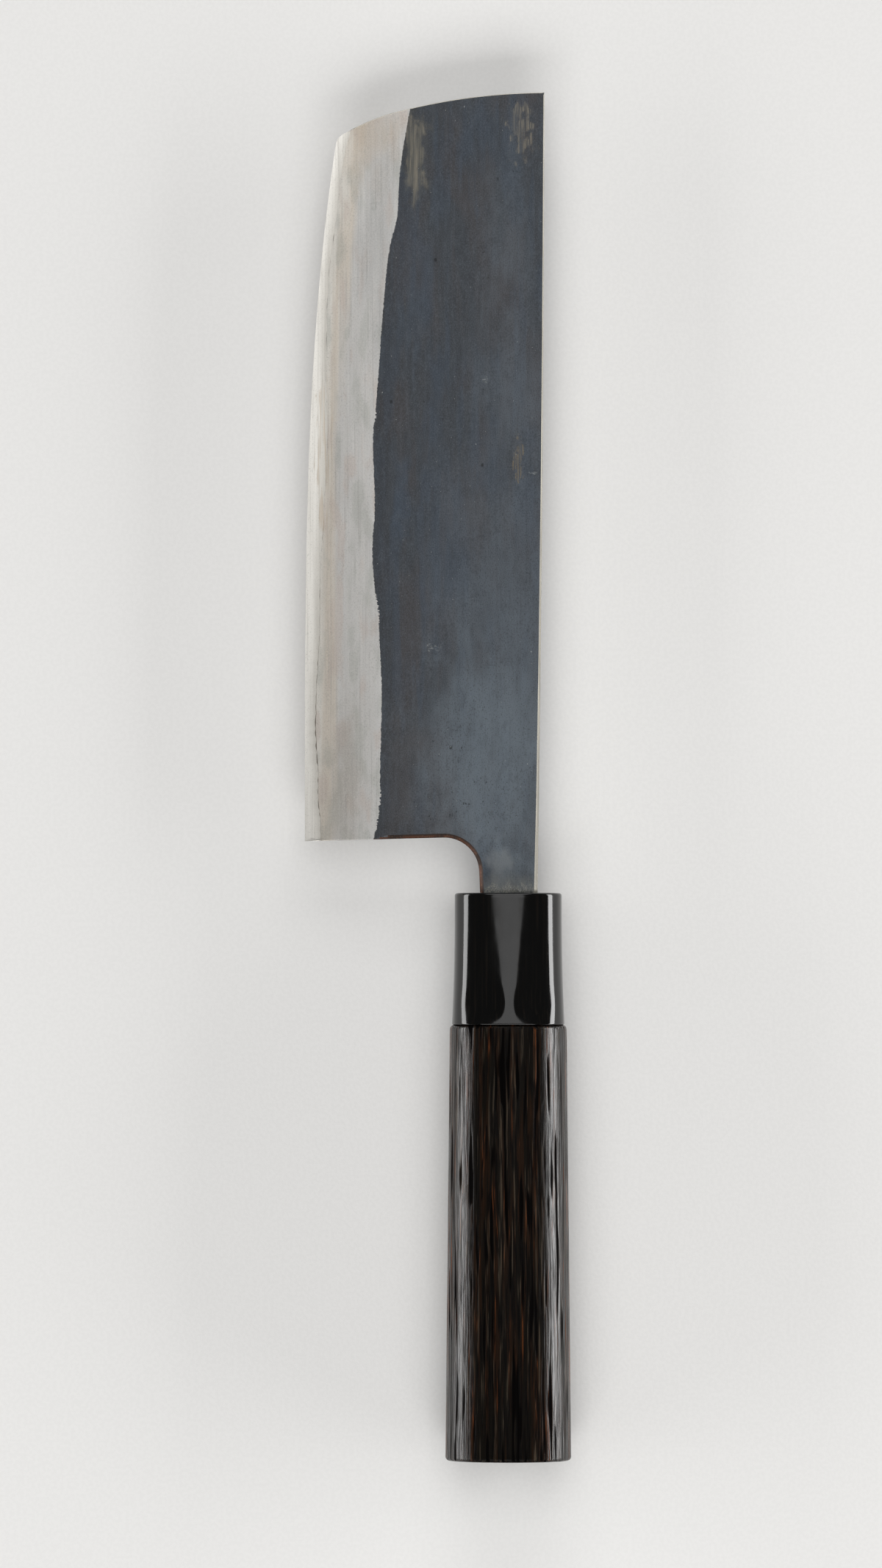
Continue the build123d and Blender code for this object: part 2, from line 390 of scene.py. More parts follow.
@dataclass(frozen=True)
class ForgedIron:
    """Soft iron cladding: black forge scale on the face, and a bevel ground bare on wet stones.

    The scale gives the eye a matt slate with blue and brown temper colours, fine pits and rubbed
    places. The bevel is a frosted silver, lighter and warmer near the edge.
    """

    name: str = "ForgedSoftIron"

    # Colours of the sound scale, and of its painted sheen and painted shade
    slate: str = "#3A3E43"
    dark_slate: str = "#2A2C30"
    light_slate: str = "#5B636B"
    blue: str = "#3C4652"
    blue_haze: str = "#6B757D"
    brown: str = "#434041"
    shade_umber: str = "#434040"

    # Colours where it is rubbed, scratched or pitted
    olive: str = "#666359"
    bare_streak: str = "#938A79"
    gold: str = "#8A7856"
    smear: str = "#7C8082"
    rubbed_neck: str = "#80807A"
    bare_neck: str = "#B2AFA3"
    spark: str = "#A3A6A4"
    pit: str = "#101113"

    # Colours of the ground bevel
    edge_iron: str = "#D3CFC7"
    beige_iron: str = "#C5BCB0"
    grey_iron: str = "#BFBEBC"
    pink_iron: str = "#BAACA3"
    green_iron: str = "#A3A59E"
    top_iron: str = "#C4C3C1"
    # Darker iron of the painted shade on the bevel near the heel
    heel_shaded_iron: str = "#A19A91"
    nose_iron: str = "#A3A3A2"
    tip_iron: str = "#BCAE9D"
    dark_line: str = "#9E9B97"
    light_line: str = "#C4C1BB"
    dark_frost: str = "#8F8C88"
    light_frost: str = "#CFCCC6"

    # Relief and sheen
    brushed: Streaks = Streaks(30.0, 0.28, 3.0, 1.0)
    cast: Streaks = Streaks(0.6, 0.42, 4.0, 5.0)
    broad: Streaks = Streaks(14.0, 6.0, 2.0, 9.0)
    relief_depth: float = 0.014

    # Lower end of the scale
    ragged: Streaks = Streaks(0.5, 0.4, 3.0, 3.0)
    bristle: Streaks = Streaks(0.35, 1.1, 3.0, 8.0)
    bristly: tuple[Patch, ...] = (
        Patch((17.0, 28.5), (9.0, 4.0)),
        Patch((62.0, 28.8), (5.0, 4.0)),
        Patch((105.0, 29.3), (2.5, 3.0)),
    )

    # Ground bevel
    bands: Streaks = Streaks(60.0, 2.4, 2.0, 2.0)
    stone_lines: Streaks = Streaks(24.0, 0.4, 3.0, 1.0)
    tint: Streaks = Streaks(11.0, 3.5, 2.0, 27.0)
    # Painted shade on the bevel near the heel
    bevel_heel_painted_shade: Patch = Patch((24.0, 36.0), (26.0, 5.5), 0.3)
    nose_shade: Patch = Patch((142.0, 28.5), (34.0, 8.0), 0.3, 5.0)
    tip_shade: Patch = Patch((168.0, 31.0), (16.0, 13.0), 0.4, 4.0)

    # Forge scale, from its widest pattern to its finest, with patches of painted sheen and painted shade
    clouds: Streaks = Streaks(30.0, 10.0, 3.0, 4.0)
    warm_clouds: Streaks = Streaks(24.0, 9.0, 3.0, 14.0)
    veils: Streaks = Streaks(26.0, 2.8, 3.0, 24.0)
    strokes: Streaks = Streaks(13.0, 0.6, 3.0, 16.0)
    mottle: Streaks = Streaks(2.8, 1.3, 4.0, 6.0)
    grains: Streaks = Streaks(0.3, 0.22, 2.0, 5.0)
    # The nose, middle and heel patches that lighten the slate, and the heel's blue haze, are painted sheen
    # where the soft light reflects on the face
    nose_painted_sheen: Patch = Patch((146.0, 0.0), (26.0, 8.0), 0.4, 5.0)
    middle_painted_sheen: Patch = Patch((115.0, -1.0), (30.0, 12.0), 0.4, 5.0)
    heel_painted_sheen: Patch = Patch((52.0, -1.0), (58.0, 18.0), 0.35, 8.0)
    heel_painted_blue_sheen: Patch = Patch((27.0, 5.0), (30.0, 20.0), 0.4, 5.0)
    neck_haze: Patch = Patch((4.0, 0.0), (9.0, 8.0))
    blue_seam: Patch = Patch((84.0, 23.4), (17.0, 2.2))
    blue_cloud: Patch = Patch((96.0, 4.0), (14.0, 4.0))
    # The heel corner and the band along the bevel at the heel are painted shade
    heel_corner_painted_shade: Patch = Patch((14.0, 25.5), (5.0, 5.0))
    heel_band_painted_shade: Patch = Patch((26.0, 23.0), (24.0, 7.0), 0.4, 4.0)

    # Rubbed places, scratches and pits
    hairs: Streaks = Streaks(6.0, 0.26, 3.0, 12.0)
    speckle: Streaks = Streaks(0.28, 0.22, 3.0, 21.0)
    cross_hairs: Streaks = Streaks(0.3, 0.9, 3.0, 25.0)
    pits: Streaks = Streaks(0.8, 0.65, 1.0, 11.0)
    sparks: Streaks = Streaks(0.55, 0.5, 1.0, 28.0)
    nose_rub: Patch = Patch((163.0, 20.4), (13.0, 4.0), 0.5, 2.0)
    tip_rub: Patch = Patch((168.5, -3.0), (9.0, 4.4), 0.6, 1.6)
    gold_scuff: Patch = Patch((95.0, -2.4), (6.0, 1.9), 0.7, 0.9)
    neck_smear: Patch = Patch((6.0, 1.5), (6.5, 4.0), 0.6, 2.5)
    neck_rub: Patch = Patch((-0.5, -1.0), (5.0, 14.0), 0.3, 2.5)
    pitted_heel: Patch = Patch((22.0, 10.0), (34.0, 18.0))
    scuffs: tuple[Patch, ...] = (
        Patch((113.0, 5.1), (1.8, 0.9), 0.6, 0.8),
        Patch((54.0, 16.6), (1.3, 3.0), 0.6, 0.8),
        Patch((92.5, -5.0), (0.5, 2.0), 0.6, 0.8),
    )
    spots: tuple[tuple[float, float], ...] = ((108.2, 25.8), (94.2, 5.7), (32.0, 12.6), (139.5, 16.0))
    spot_reach: tuple[float, float] = (0.7, 0.55)

    def make(self) -> bpy.types.Material:
        """Writes the material.

        Returns:
            The material, which reads bevel_share, above_bevel and above_joint from the mesh.
        """
        recipe = Recipe(self.name)
        cover = self.scale_cover(recipe)
        bevel, scale = self.ground_bevel(recipe), self.forge_scale(recipe)
        colour = recipe.coats(bevel, [(scale, cover, 0.0, 1.0, 1.0)])
        roughness = recipe.total(
            0.34,
            [
                (self.brushed, *GRAIN_RANGE, 0.08),
                (cover, 0.0, 1.0, 0.06),
                (self.broad, *GRAIN_RANGE, 0.08),
            ],
        )
        metallic = recipe.total(1.0, [(cover, 0.0, 1.0, -0.6)])
        cast = recipe.both(cover, self.cast)
        relief = recipe.total(0.0, [(self.brushed, *GRAIN_RANGE, 0.2), (cast, *GRAIN_RANGE, 1.0)])
        return recipe.dress(colour, roughness, relief, self.relief_depth, metallic)

    def scale_cover(self, recipe: Recipe) -> bpy.types.NodeSocket:
        """Finds where the forge scale lies.

        The scale ends in a fine ragged line, with longer bristles where the stone rode up the face.

        Args:
            recipe: The finish being written.

        Returns:
            1 under the scale and 0 on the bevel.
        """
        place = recipe.total(recipe.read("above_bevel"), [(self.ragged, *GRAIN_RANGE, -0.2)])
        for patch in self.bristly:
            place = recipe.total(place, [(recipe.both(patch, self.bristle), 0.4, 0.62, -0.36)])
        return recipe.total(0.0, [(place, -0.22, -0.06, 1.0)])

    def ground_bevel(self, recipe: Recipe) -> bpy.types.NodeSocket:
        """Colours the bare iron of the bevel, with painted shade near the heel.

        Args:
            recipe: The finish being written.

        Returns:
            Its colour.
        """
        share = recipe.read("bevel_share")
        height = recipe.total(share, [(self.bands, *GRAIN_RANGE, 0.18), (self.bands, 0.0, 1.0, -0.09)])
        colour = recipe.coats(
            self.edge_iron,
            [
                (self.beige_iron, height, 0.20, 0.34, 0.9),
                (self.grey_iron, height, 0.36, 0.56, 0.9),
                (self.top_iron, share, 0.86, 1.0, 0.75),
                (self.pink_iron, self.tint, 0.52, 0.66, 0.45),
                (self.green_iron, self.tint, 0.46, 0.34, 0.4),
                # Painted shade: darker iron on the bevel near the heel
                (self.heel_shaded_iron, self.bevel_heel_painted_shade, 0.0, 1.0, 0.6),
                (self.nose_iron, self.nose_shade, 0.0, 1.0, 0.5),
                (self.tip_iron, self.tip_shade, 0.0, 1.0, 0.55),
                (self.dark_line, self.stone_lines, 0.52, 0.74, 0.4),
                (self.light_line, self.stone_lines, 0.48, 0.28, 0.35),
                (self.dark_frost, STONE_FROST, 0.52, 0.75, 0.4),
                (self.light_frost, STONE_FROST, 0.48, 0.27, 0.35),
            ],
        )
        return JointLine().draw(recipe, colour)

    def forge_scale(self, recipe: Recipe) -> bpy.types.NodeSocket:
        """Colours the forge scale of the face, with painted sheen and painted shade.

        Args:
            recipe: The finish being written.

        Returns:
            Its colour.
        """
        colour = recipe.coats(
            self.slate,
            [
                (self.brown, self.warm_clouds, 0.46, 0.62, 0.7),
                (self.blue, self.clouds, 0.50, 0.64, 0.6),
                (self.blue, self.veils, 0.52, 0.66, 0.5),
                (self.brown, self.veils, 0.46, 0.32, 0.4),
                # Painted sheen: lighter slate and blue haze where the soft light reflects on the face
                (self.light_slate, self.nose_painted_sheen, 0.0, 1.0, 0.4),
                (self.light_slate, self.middle_painted_sheen, 0.0, 1.0, 0.4),
                (self.light_slate, self.heel_painted_sheen, -0.35, 1.0, 0.62),
                (self.blue_haze, self.heel_painted_blue_sheen, -0.25, 1.0, 0.66),
                (self.blue_haze, self.neck_haze, 0.0, 0.9, 0.66),
                (self.blue, self.blue_seam, 0.0, 0.9, 0.8),
                (self.blue, self.blue_cloud, 0.0, 1.0, 0.5),
                (self.dark_slate, "above_bevel", 5.0, 0.5, 0.4),
                # Painted shade: darker slate in the heel's corner and a darker band along the bevel at the
                # heel
                (self.dark_slate, self.heel_corner_painted_shade, 0.0, 0.9, 0.85),
                (self.shade_umber, self.heel_band_painted_shade, 0.0, 1.0, 0.7),
                (self.dark_slate, self.strokes, 0.52, 0.72, 0.18),
                (self.light_slate, self.strokes, 0.48, 0.28, 0.12),
                (self.dark_slate, self.mottle, 0.5, 0.7, 0.2),
                (self.light_slate, self.mottle, 0.5, 0.32, 0.12),
                (self.dark_slate, self.grains, 0.5, 0.72, 0.5),
                (self.light_slate, self.grains, 0.5, 0.3, 0.3),
            ],
        )
        return recipe.coats(colour, self.rubbed_places(recipe))

    def rubbed_places(self, recipe: Recipe) -> list[tuple]:
        """Lists the places where the scale is rubbed thin, scratched or pitted.

        Args:
            recipe: The finish being written.

        Returns:
            The layers that they add, in order.
        """
        layers = [
            (self.olive, self.nose_rub, 0.0, 1.0, 0.6),
            (self.olive, self.tip_rub, 0.1, 0.9, 0.2),
            (self.bare_streak, recipe.both(self.nose_rub, self.hairs), 0.36, 0.74, 0.45),
            (self.bare_streak, recipe.both(self.tip_rub, self.hairs), 0.38, 0.74, 0.6),
            (self.gold, recipe.both(self.gold_scuff, self.hairs), 0.42, 0.68, 0.5),
            (self.smear, self.neck_smear, 0.0, 0.9, 0.5),
            (self.rubbed_neck, self.neck_rub, 0.0, 0.8, 0.55),
            (self.bare_neck, recipe.both(self.neck_rub, self.speckle), 0.46, 0.64, 0.6),
        ]
        for scuff in self.scuffs:
            layers.append((self.spark, recipe.both(scuff, self.cross_hairs), 0.46, 0.7, 0.4))
        for centre in self.spots:
            layers.append((self.pit, Patch(centre, self.spot_reach, 0.2, 0.8), 0.1, 0.7, 0.7))
        layers.append((self.pit, self.pits, 0.73, 0.80, 0.45))
        layers.append((self.pit, recipe.both(self.pitted_heel, self.pits), 0.68, 0.75, 0.4))
        layers.append((self.spark, self.sparks, 0.775, 0.82, 0.6))
        return layers


@dataclass(frozen=True)
class CoreSteel:
    """Hard carbon steel of the core, stoned to the brightest satin of the knife at the edge."""

    name: str = "CarbonCoreSteel"
    steel: str = "#ECE9E2"
    shade: str = "#C8C4BC"
    frosted: str = "#A5A29C"
    fine: Streaks = Streaks(22.0, 0.3, 3.0, 31.0)
    relief_depth: float = 0.003

    def make(self) -> bpy.types.Material:
        """Writes the material, which reads above_joint from the mesh."""
        recipe = Recipe(self.name)
        colour = recipe.coats(
            self.steel,
            [
                (self.shade, "above_joint", -2.2, 0.1, 0.9),
                (self.shade, self.fine, 0.48, 0.75, 0.5),
                (self.frosted, STONE_FROST, 0.54, 0.75, 0.35),
            ],
        )
        colour = JointLine().draw(recipe, colour)
        roughness = recipe.total(0.32, [(self.fine, *GRAIN_RANGE, 0.10)])
        relief = recipe.total(0.0, [(self.fine, *GRAIN_RANGE, 1.0)])
        return recipe.dress(colour, roughness, relief, self.relief_depth, metallic=1.0)


@dataclass(frozen=True)
class GroundSpine:
    """Spine and nose rims, ground flat and polished, which the eye reads as a thin bright line."""

    name: str = "PolishedSpineSteel"
    steel: str = "#C0BCB1"
    shade: str = "#A09C93"
    fine: Streaks = Streaks(12.0, 0.2, 3.0, 41.0)
    relief_depth: float = 0.003

    def make(self) -> bpy.types.Material:
        """Writes the material, with the grinder's fine lines along the spine."""
        recipe = Recipe(self.name)
        colour = recipe.coats(self.steel, [(self.shade, self.fine, 0.5, 0.75, 0.5)])
        roughness = recipe.total(0.20, [(self.fine, *GRAIN_RANGE, 0.12)])
        relief = recipe.total(0.0, [(self.fine, *GRAIN_RANGE, 1.0)])
        return recipe.dress(colour, roughness, relief, self.relief_depth, metallic=1.0)


@dataclass(frozen=True)
class RustedRim:
    """Sawn rim of heel and neck, browned with rust that was wiped thin, so the saw marks show."""

    name: str = "RustBrownRim"
    rust: str = "#4C2B18"
    dark: str = "#1D130D"
    bare: str = "#7B5B45"
    saw_marks: Streaks = Streaks(0.35, 0.35, 3.0, 51.0, 4.0)
    blotches: Streaks = Streaks(2.5, 2.5, 4.0, 52.0)
    relief_depth: float = 0.02

    def make(self) -> bpy.types.Material:
        """Writes the material, which reads heel_gap from the mesh."""
        recipe = Recipe(self.name)
        colour = recipe.coats(
            self.rust,
            [
                (self.dark, self.blotches, 0.45, 0.62, 0.8),
                (self.bare, self.saw_marks, 0.56, 0.72, 0.6),
                (self.dark, self.saw_marks, 0.46, 0.3, 0.6),
                (self.dark, "heel_gap", 0.40, 0.66, 0.75),
                (self.dark, "heel_gap", 0.18, 0.04, 0.45),
            ],
        )
        roughness = recipe.total(0.48, [(self.blotches, *GRAIN_RANGE, 0.2)])
        relief = recipe.total(0.0, [(self.saw_marks, *GRAIN_RANGE, 1.0)])
        return recipe.dress(colour, roughness, relief, self.relief_depth, metallic=0.4)


@dataclass(frozen=True)
class PolishedHorn:
    """Black buffalo horn of the ferrule, buffed to a deep gloss with hardly visible brown fibres."""

    name: str = "PolishedBlackHorn"
    black: str = "#050505"
    fibre: str = "#120E0B"
    fibres: Streaks = Streaks(20.0, 0.5, 3.0, 61.0)
    haze: Streaks = Streaks(6.0, 3.0, 3.0, 62.0)
    relief_depth: float = 0.004
    refraction: float = 1.54

    def make(self) -> bpy.types.Material:
        """Writes the material."""
        recipe = Recipe(self.name)
        colour = recipe.coats(self.black, [(self.fibre, self.fibres, 0.5, 0.7, 0.8)])
        roughness = recipe.total(0.07, [(self.haze, 0.35, 0.7, 0.05), (self.fibres, 0.5, 0.75, 0.03)])
        relief = recipe.total(0.0, [(self.haze, *GRAIN_RANGE, 1.0)])
        return recipe.dress(colour, roughness, relief, self.relief_depth, IOR=self.refraction)


@dataclass(frozen=True)
class BurntWood:
    """Chestnut, charred and brushed, then oiled: black open grain between dark brown ridges.

    The ridges carry a silky sheen, the burnt-out grain stays black, and here and there the char is
    brushed through to orange-brown wood.
    """

    name: str = "BurntChestnut"
    ridge: str = "#0C0906"
    # Grey of the painted sheen on the ridges
    sheen_grey: str = "#4C4338"
    char: str = "#030202"
    orange: str = "#6B3B1D"
    brown: str = "#1E1108"
    fibres: Streaks = Streaks(18.0, 0.26, 3.0, 71.0)
    # Streaks of painted sheen along the ridges
    sheen_streaks: Streaks = Streaks(20.0, 0.8, 3.0, 75.0)
    pores: Streaks = Streaks(9.0, 0.5, 2.0, 72.0)
    warm: Streaks = Streaks(26.0, 1.1, 3.0, 73.0)
    glow: Streaks = Streaks(16.0, 0.5, 3.0, 74.0)
    relief_depth: float = 0.03
    under_oil: float = 0.03
    oil_roughness: float = 0.22
    oil_refraction: float = 1.7

    def make(self) -> bpy.types.Material:
        """Writes the material.

        Returns:
            The material, which reads groove, end_grain and sideways from the mesh.
        """
        recipe = Recipe(self.name)
        off_middle = recipe.unsigned("sideways")
        # Painted sheen: grey streaks along the ridges
        painted_sheen_ridges = recipe.both(self.sheen_streaks, recipe.total(0.1, [(self.fibres, 0.3, 0.6, 0.8)]))
        worn_side = recipe.both(off_middle, recipe.total(0.42, [(self.glow, 0.4, 0.6, 0.58)]))
        colour = recipe.coats(
            self.ridge,
            [
                (self.brown, self.warm, 0.44, 0.60, 0.85),
                (self.sheen_grey, painted_sheen_ridges, 0.53, 0.66, 0.5),
                (self.orange, recipe.both(self.warm, self.glow), 0.55, 0.66, 0.7),
                (self.orange, worn_side, 0.95, 0.98, 0.8),
                (self.char, self.pores, 0.50, 0.38, 0.85),
                (self.char, "groove", 0.10, 0.55, 1.0),
                (self.char, "end_grain", 0.2, 1.0, 0.55),
            ],
        )
        roughness = recipe.total(0.45, [("groove", 0.05, 0.5, 0.3), (self.fibres, *GRAIN_RANGE, 0.15)])
        relief = recipe.total(0.0, [(self.fibres, *GRAIN_RANGE, 0.8), (self.pores, 0.34, 0.5, 0.5)])
        return recipe.dress(
            colour,
            roughness,
            relief,
            self.relief_depth,
            Specular_IOR_Level=self.under_oil,
            Coat_Weight=self.polish(recipe, off_middle),
            Coat_Roughness=self.oil_roughness,
            Coat_IOR=self.oil_refraction,
        )

    def polish(self, recipe: Recipe, off_middle: bpy.types.NodeSocket) -> bpy.types.NodeSocket:
        """Finds where the oiled ridges shine.

        Args:
            recipe: The finish being written.
            off_middle: How far a place lies from the top's middle, 1 at the side.

        Returns:
            How much they shine, from 0 to 1.
        """
        ridges = recipe.total(0.0, [("groove", 0.35, 0.02, 1.0)])
        # Palms have polished the ridges along both sides more than on top
        sides = recipe.total(0.05, [(off_middle, 0.55, 0.78, 0.95)])
        silky = recipe.total(0.15, [(self.fibres, 0.38, 0.58, 0.85)])
        return recipe.both(recipe.both(ridges, sides), silky)


@dataclass(frozen=True)
class PaleDowelWood:
    """Magnolia of the hidden dowel: even, pale and close-grained."""

    name: str = "PlainMagnolia"
    wood: str = "#CDBB95"
    grain: str = "#AD976C"
    fibres: Streaks = Streaks(30.0, 0.7, 3.0, 81.0)
    relief_depth: float = 0.03

    def make(self) -> bpy.types.Material:
        """Writes the material."""
        recipe = Recipe(self.name)
        colour = recipe.coats(self.wood, [(self.grain, self.fibres, 0.45, 0.65, 0.8)])
        roughness = recipe.total(0.6, [(self.fibres, *GRAIN_RANGE, 0.15)])
        relief = recipe.total(0.0, [(self.fibres, *GRAIN_RANGE, 1.0)])
        return recipe.dress(colour, roughness, relief, self.relief_depth)


@dataclass(frozen=True)
class TangResin:
    """Cured amber resin round the hidden tang, with small bubbles."""

    name: str = "CuredResin"
    amber: str = "#8A6A34"
    clear: str = "#B7945A"
    bubbles: Streaks = Streaks(0.8, 0.8, 2.0, 91.0)
    relief_depth: float = 0.05

    def make(self) -> bpy.types.Material:
        """Writes the material."""
        recipe = Recipe(self.name)
        colour = recipe.coats(self.amber, [(self.clear, self.bubbles, 0.5, 0.7, 0.8)])
        roughness = recipe.total(0.3, [(self.bubbles, *GRAIN_RANGE, 0.1)])
        relief = recipe.total(0.0, [(self.bubbles, 0.5, 0.7, 1.0)])
        return recipe.dress(colour, roughness, relief, self.relief_depth)


@dataclass(frozen=True)
class MattBoard:
    """Pale matt board of the table top, with a tooth too fine to see as a pattern."""

    name: str = "PaleMattBoard"
    board: str = "#EFEEEC"
    shade: str = "#EDECEA"
    tooth: Streaks = Streaks(0.8, 0.8, 2.0, 95.0)
    relief_depth: float = 0.01

    def make(self) -> bpy.types.Material:
        """Writes the material."""
        recipe = Recipe(self.name)
        colour = recipe.coats(self.board, [(self.shade, self.tooth, 0.4, 0.6, 1.0)])
        roughness = recipe.total(0.85, [(self.tooth, *GRAIN_RANGE, 0.1)])
        relief = recipe.total(0.0, [(self.tooth, *GRAIN_RANGE, 1.0)])
        return recipe.dress(colour, roughness, relief, self.relief_depth)


class Rim(Enum):
    """Stretches of the steel's outline, by how they are finished, and a layer's underside."""

    SPINE = "polished spine"
    NOSE = "ground nose"
    EDGE = "cutting edge"
    HEEL = "sawn heel and neck"
    TANG = "hidden tang"
    JOINT = "where the core comes out"
    UNDER = "underside of a layer"


@dataclass
class Skin:
    """A mesh before it is made: points in mm, faces, their finish, and the measures that they carry."""

    points: np.ndarray
    faces: list[tuple[int, ...]]
    finishes: list[int]
    measures: dict[str, np.ndarray]
    creases: set[int] = field(default_factory=set)

    def piece(
        self, name: str, node: str, slot: str, materials: list[bpy.types.Material], crease_degrees: float
    ) -> bpy.types.Object:
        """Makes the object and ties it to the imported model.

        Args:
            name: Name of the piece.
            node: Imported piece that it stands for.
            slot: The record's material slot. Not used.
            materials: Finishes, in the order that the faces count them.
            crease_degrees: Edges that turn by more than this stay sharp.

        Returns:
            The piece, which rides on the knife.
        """
        # Where a layer's top and underside meet, they share points, and the spare ones are left out
        used = sorted({corner for face in self.faces for corner in face})
        number = {old: new for new, old in enumerate(used)}
        faces = [tuple(number[corner] for corner in face) for face in self.faces]
        creases = {number[corner] for corner in self.creases if corner in number}

        mesh = bpy.data.meshes.new(name)
        in_row_frame = self.points[used] * METRES + np.array(ORIGIN)
        mesh.from_pydata(in_row_frame.tolist(), [], faces)
        for material in materials:
            mesh.materials.append(material)
        mesh.polygons.foreach_set("material_index", self.finishes)
        for measure, values in self.measures.items():
            carried = mesh.attributes.new(measure, "FLOAT", "POINT")
            carried.data.foreach_set("value", values[used].astype(np.float32))
        mesh.shade_smooth()
        mesh.set_sharp_from_angle(angle=math.radians(crease_degrees))
        for edge in mesh.edges if creases else ():
            if creases.issuperset(edge.vertices):
                edge.use_edge_sharp = True
        mesh.update()
        piece = bpy.data.objects.new(name, mesh)
        bpy.context.scene.collection.objects.link(piece)
        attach(piece, "root")
        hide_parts(node)
        return piece


def wave(x: np.ndarray, y: np.ndarray, size: float, seed: float) -> np.ndarray:
    """Gives smooth noise over a face.

    Args:
        x: Places along the knife, in mm.
        y: Places across the knife, in mm.
        size: Size of its swells, in mm.
        seed: Picks one pattern out of many.

    Returns:
        Values from about -1 to 1, one for each place.
    """
    places = zip(np.ravel(x) / size, np.ravel(y) / size)
    return np.array([noise.noise(Vector((a, b, seed))) for a, b in places]).reshape(np.shape(x))


def along_curve(xs: np.ndarray, stations: tuple[tuple[float, float], ...]) -> np.ndarray:
    """Reads a smooth curve through given stations.

    Args:
        xs: Places to read it at.
        stations: Pairs of place and value, by rising place.

    Returns:
        The values, eased between the stations.
    """
    places, values = np.array(stations).T
    xs = np.clip(xs, places[0], places[-1])
    slot = np.clip(np.searchsorted(places, xs, side="right") - 1, 0, len(places) - 2)
    share = (xs - places[slot]) / (places[slot + 1] - places[slot])
    slopes = np.gradient(values, places)
    width = places[slot + 1] - places[slot]
    a = values[slot] * (1 + 2 * share) * (1 - share) ** 2 + slopes[slot] * width * share * (1 - share) ** 2
    b = values[slot + 1] * share**2 * (3 - 2 * share) - slopes[slot + 1] * width * share**2 * (1 - share)
    return a + b


def rounded_corner(before: Vector, corner: Vector, after: Vector, radius: float, step: float) -> list[Vector]:
    """Rounds a corner with an arc.

    Args:
        before: A point that the outline comes from.
        corner: The corner.
        after: A point that it goes to.
        radius: Radius of the arc, in mm.
        step: Longest distance between two points of it, in mm.

    Returns:
        Points of the arc, in order.
    """
    back, onward = (before - corner).normalized(), (after - corner).normalized()
    half = back.angle(onward) / 2
    centre = corner + (back + onward).normalized() * (radius / math.sin(half))
    start = corner + back * (radius / math.tan(half)) - centre
    end = corner + onward * (radius / math.tan(half)) - centre
    turn = math.atan2(start.x * end.y - start.y * end.x, start.dot(end))
    count = max(2, math.ceil(abs(turn) * radius / step))
    arc = []
    for k in range(count + 1):
        c, s = math.cos(turn * k / count), math.sin(turn * k / count)
        arc.append(centre + Vector((start.x * c - start.y * s, start.x * s + start.y * c)))
    return arc


def far_from(points: np.ndarray, loop: np.ndarray) -> np.ndarray:
    """Measures how far points lie from a line of straight steps.

    Args:
        points: Places, one row each.
        loop: The line's points, one row each, in order.

    Returns:
        The distances.
    """
    start, step = loop[:-1], np.diff(loop, axis=0)
    length = np.maximum((step**2).sum(1), 1e-12)
    nearest = np.full(len(points), np.inf)
    for part in range(0, len(start), 100):
        a, d, n = start[part : part + 100], step[part : part + 100], length[part : part + 100]
        away = points[:, None] - a[None]
        share = np.clip((away * d).sum(2) / n, 0, 1)
        nearest = np.minimum(nearest, np.hypot(*(np.moveaxis(away - share[..., None] * d, 2, 0))).min(1))
    return nearest


def inside(points: np.ndarray, loop: np.ndarray) -> np.ndarray:
    """Tells which points lie inside a closed outline.

    Args:
        points: Places, one row each.
        loop: The outline's points, one row each, without the first again at the end.

    Returns:
        True for each point inside.
    """
    x, y = points.T
    odd = np.zeros(len(points), bool)
    for (x0, y0), (x1, y1) in zip(loop, np.roll(loop, -1, axis=0)):
        if y0 != y1:
            crosses = (y0 > y) != (y1 > y)
            odd ^= crosses & (x < (x1 - x0) * (y - y0) / (y1 - y0) + x0)
    return odd


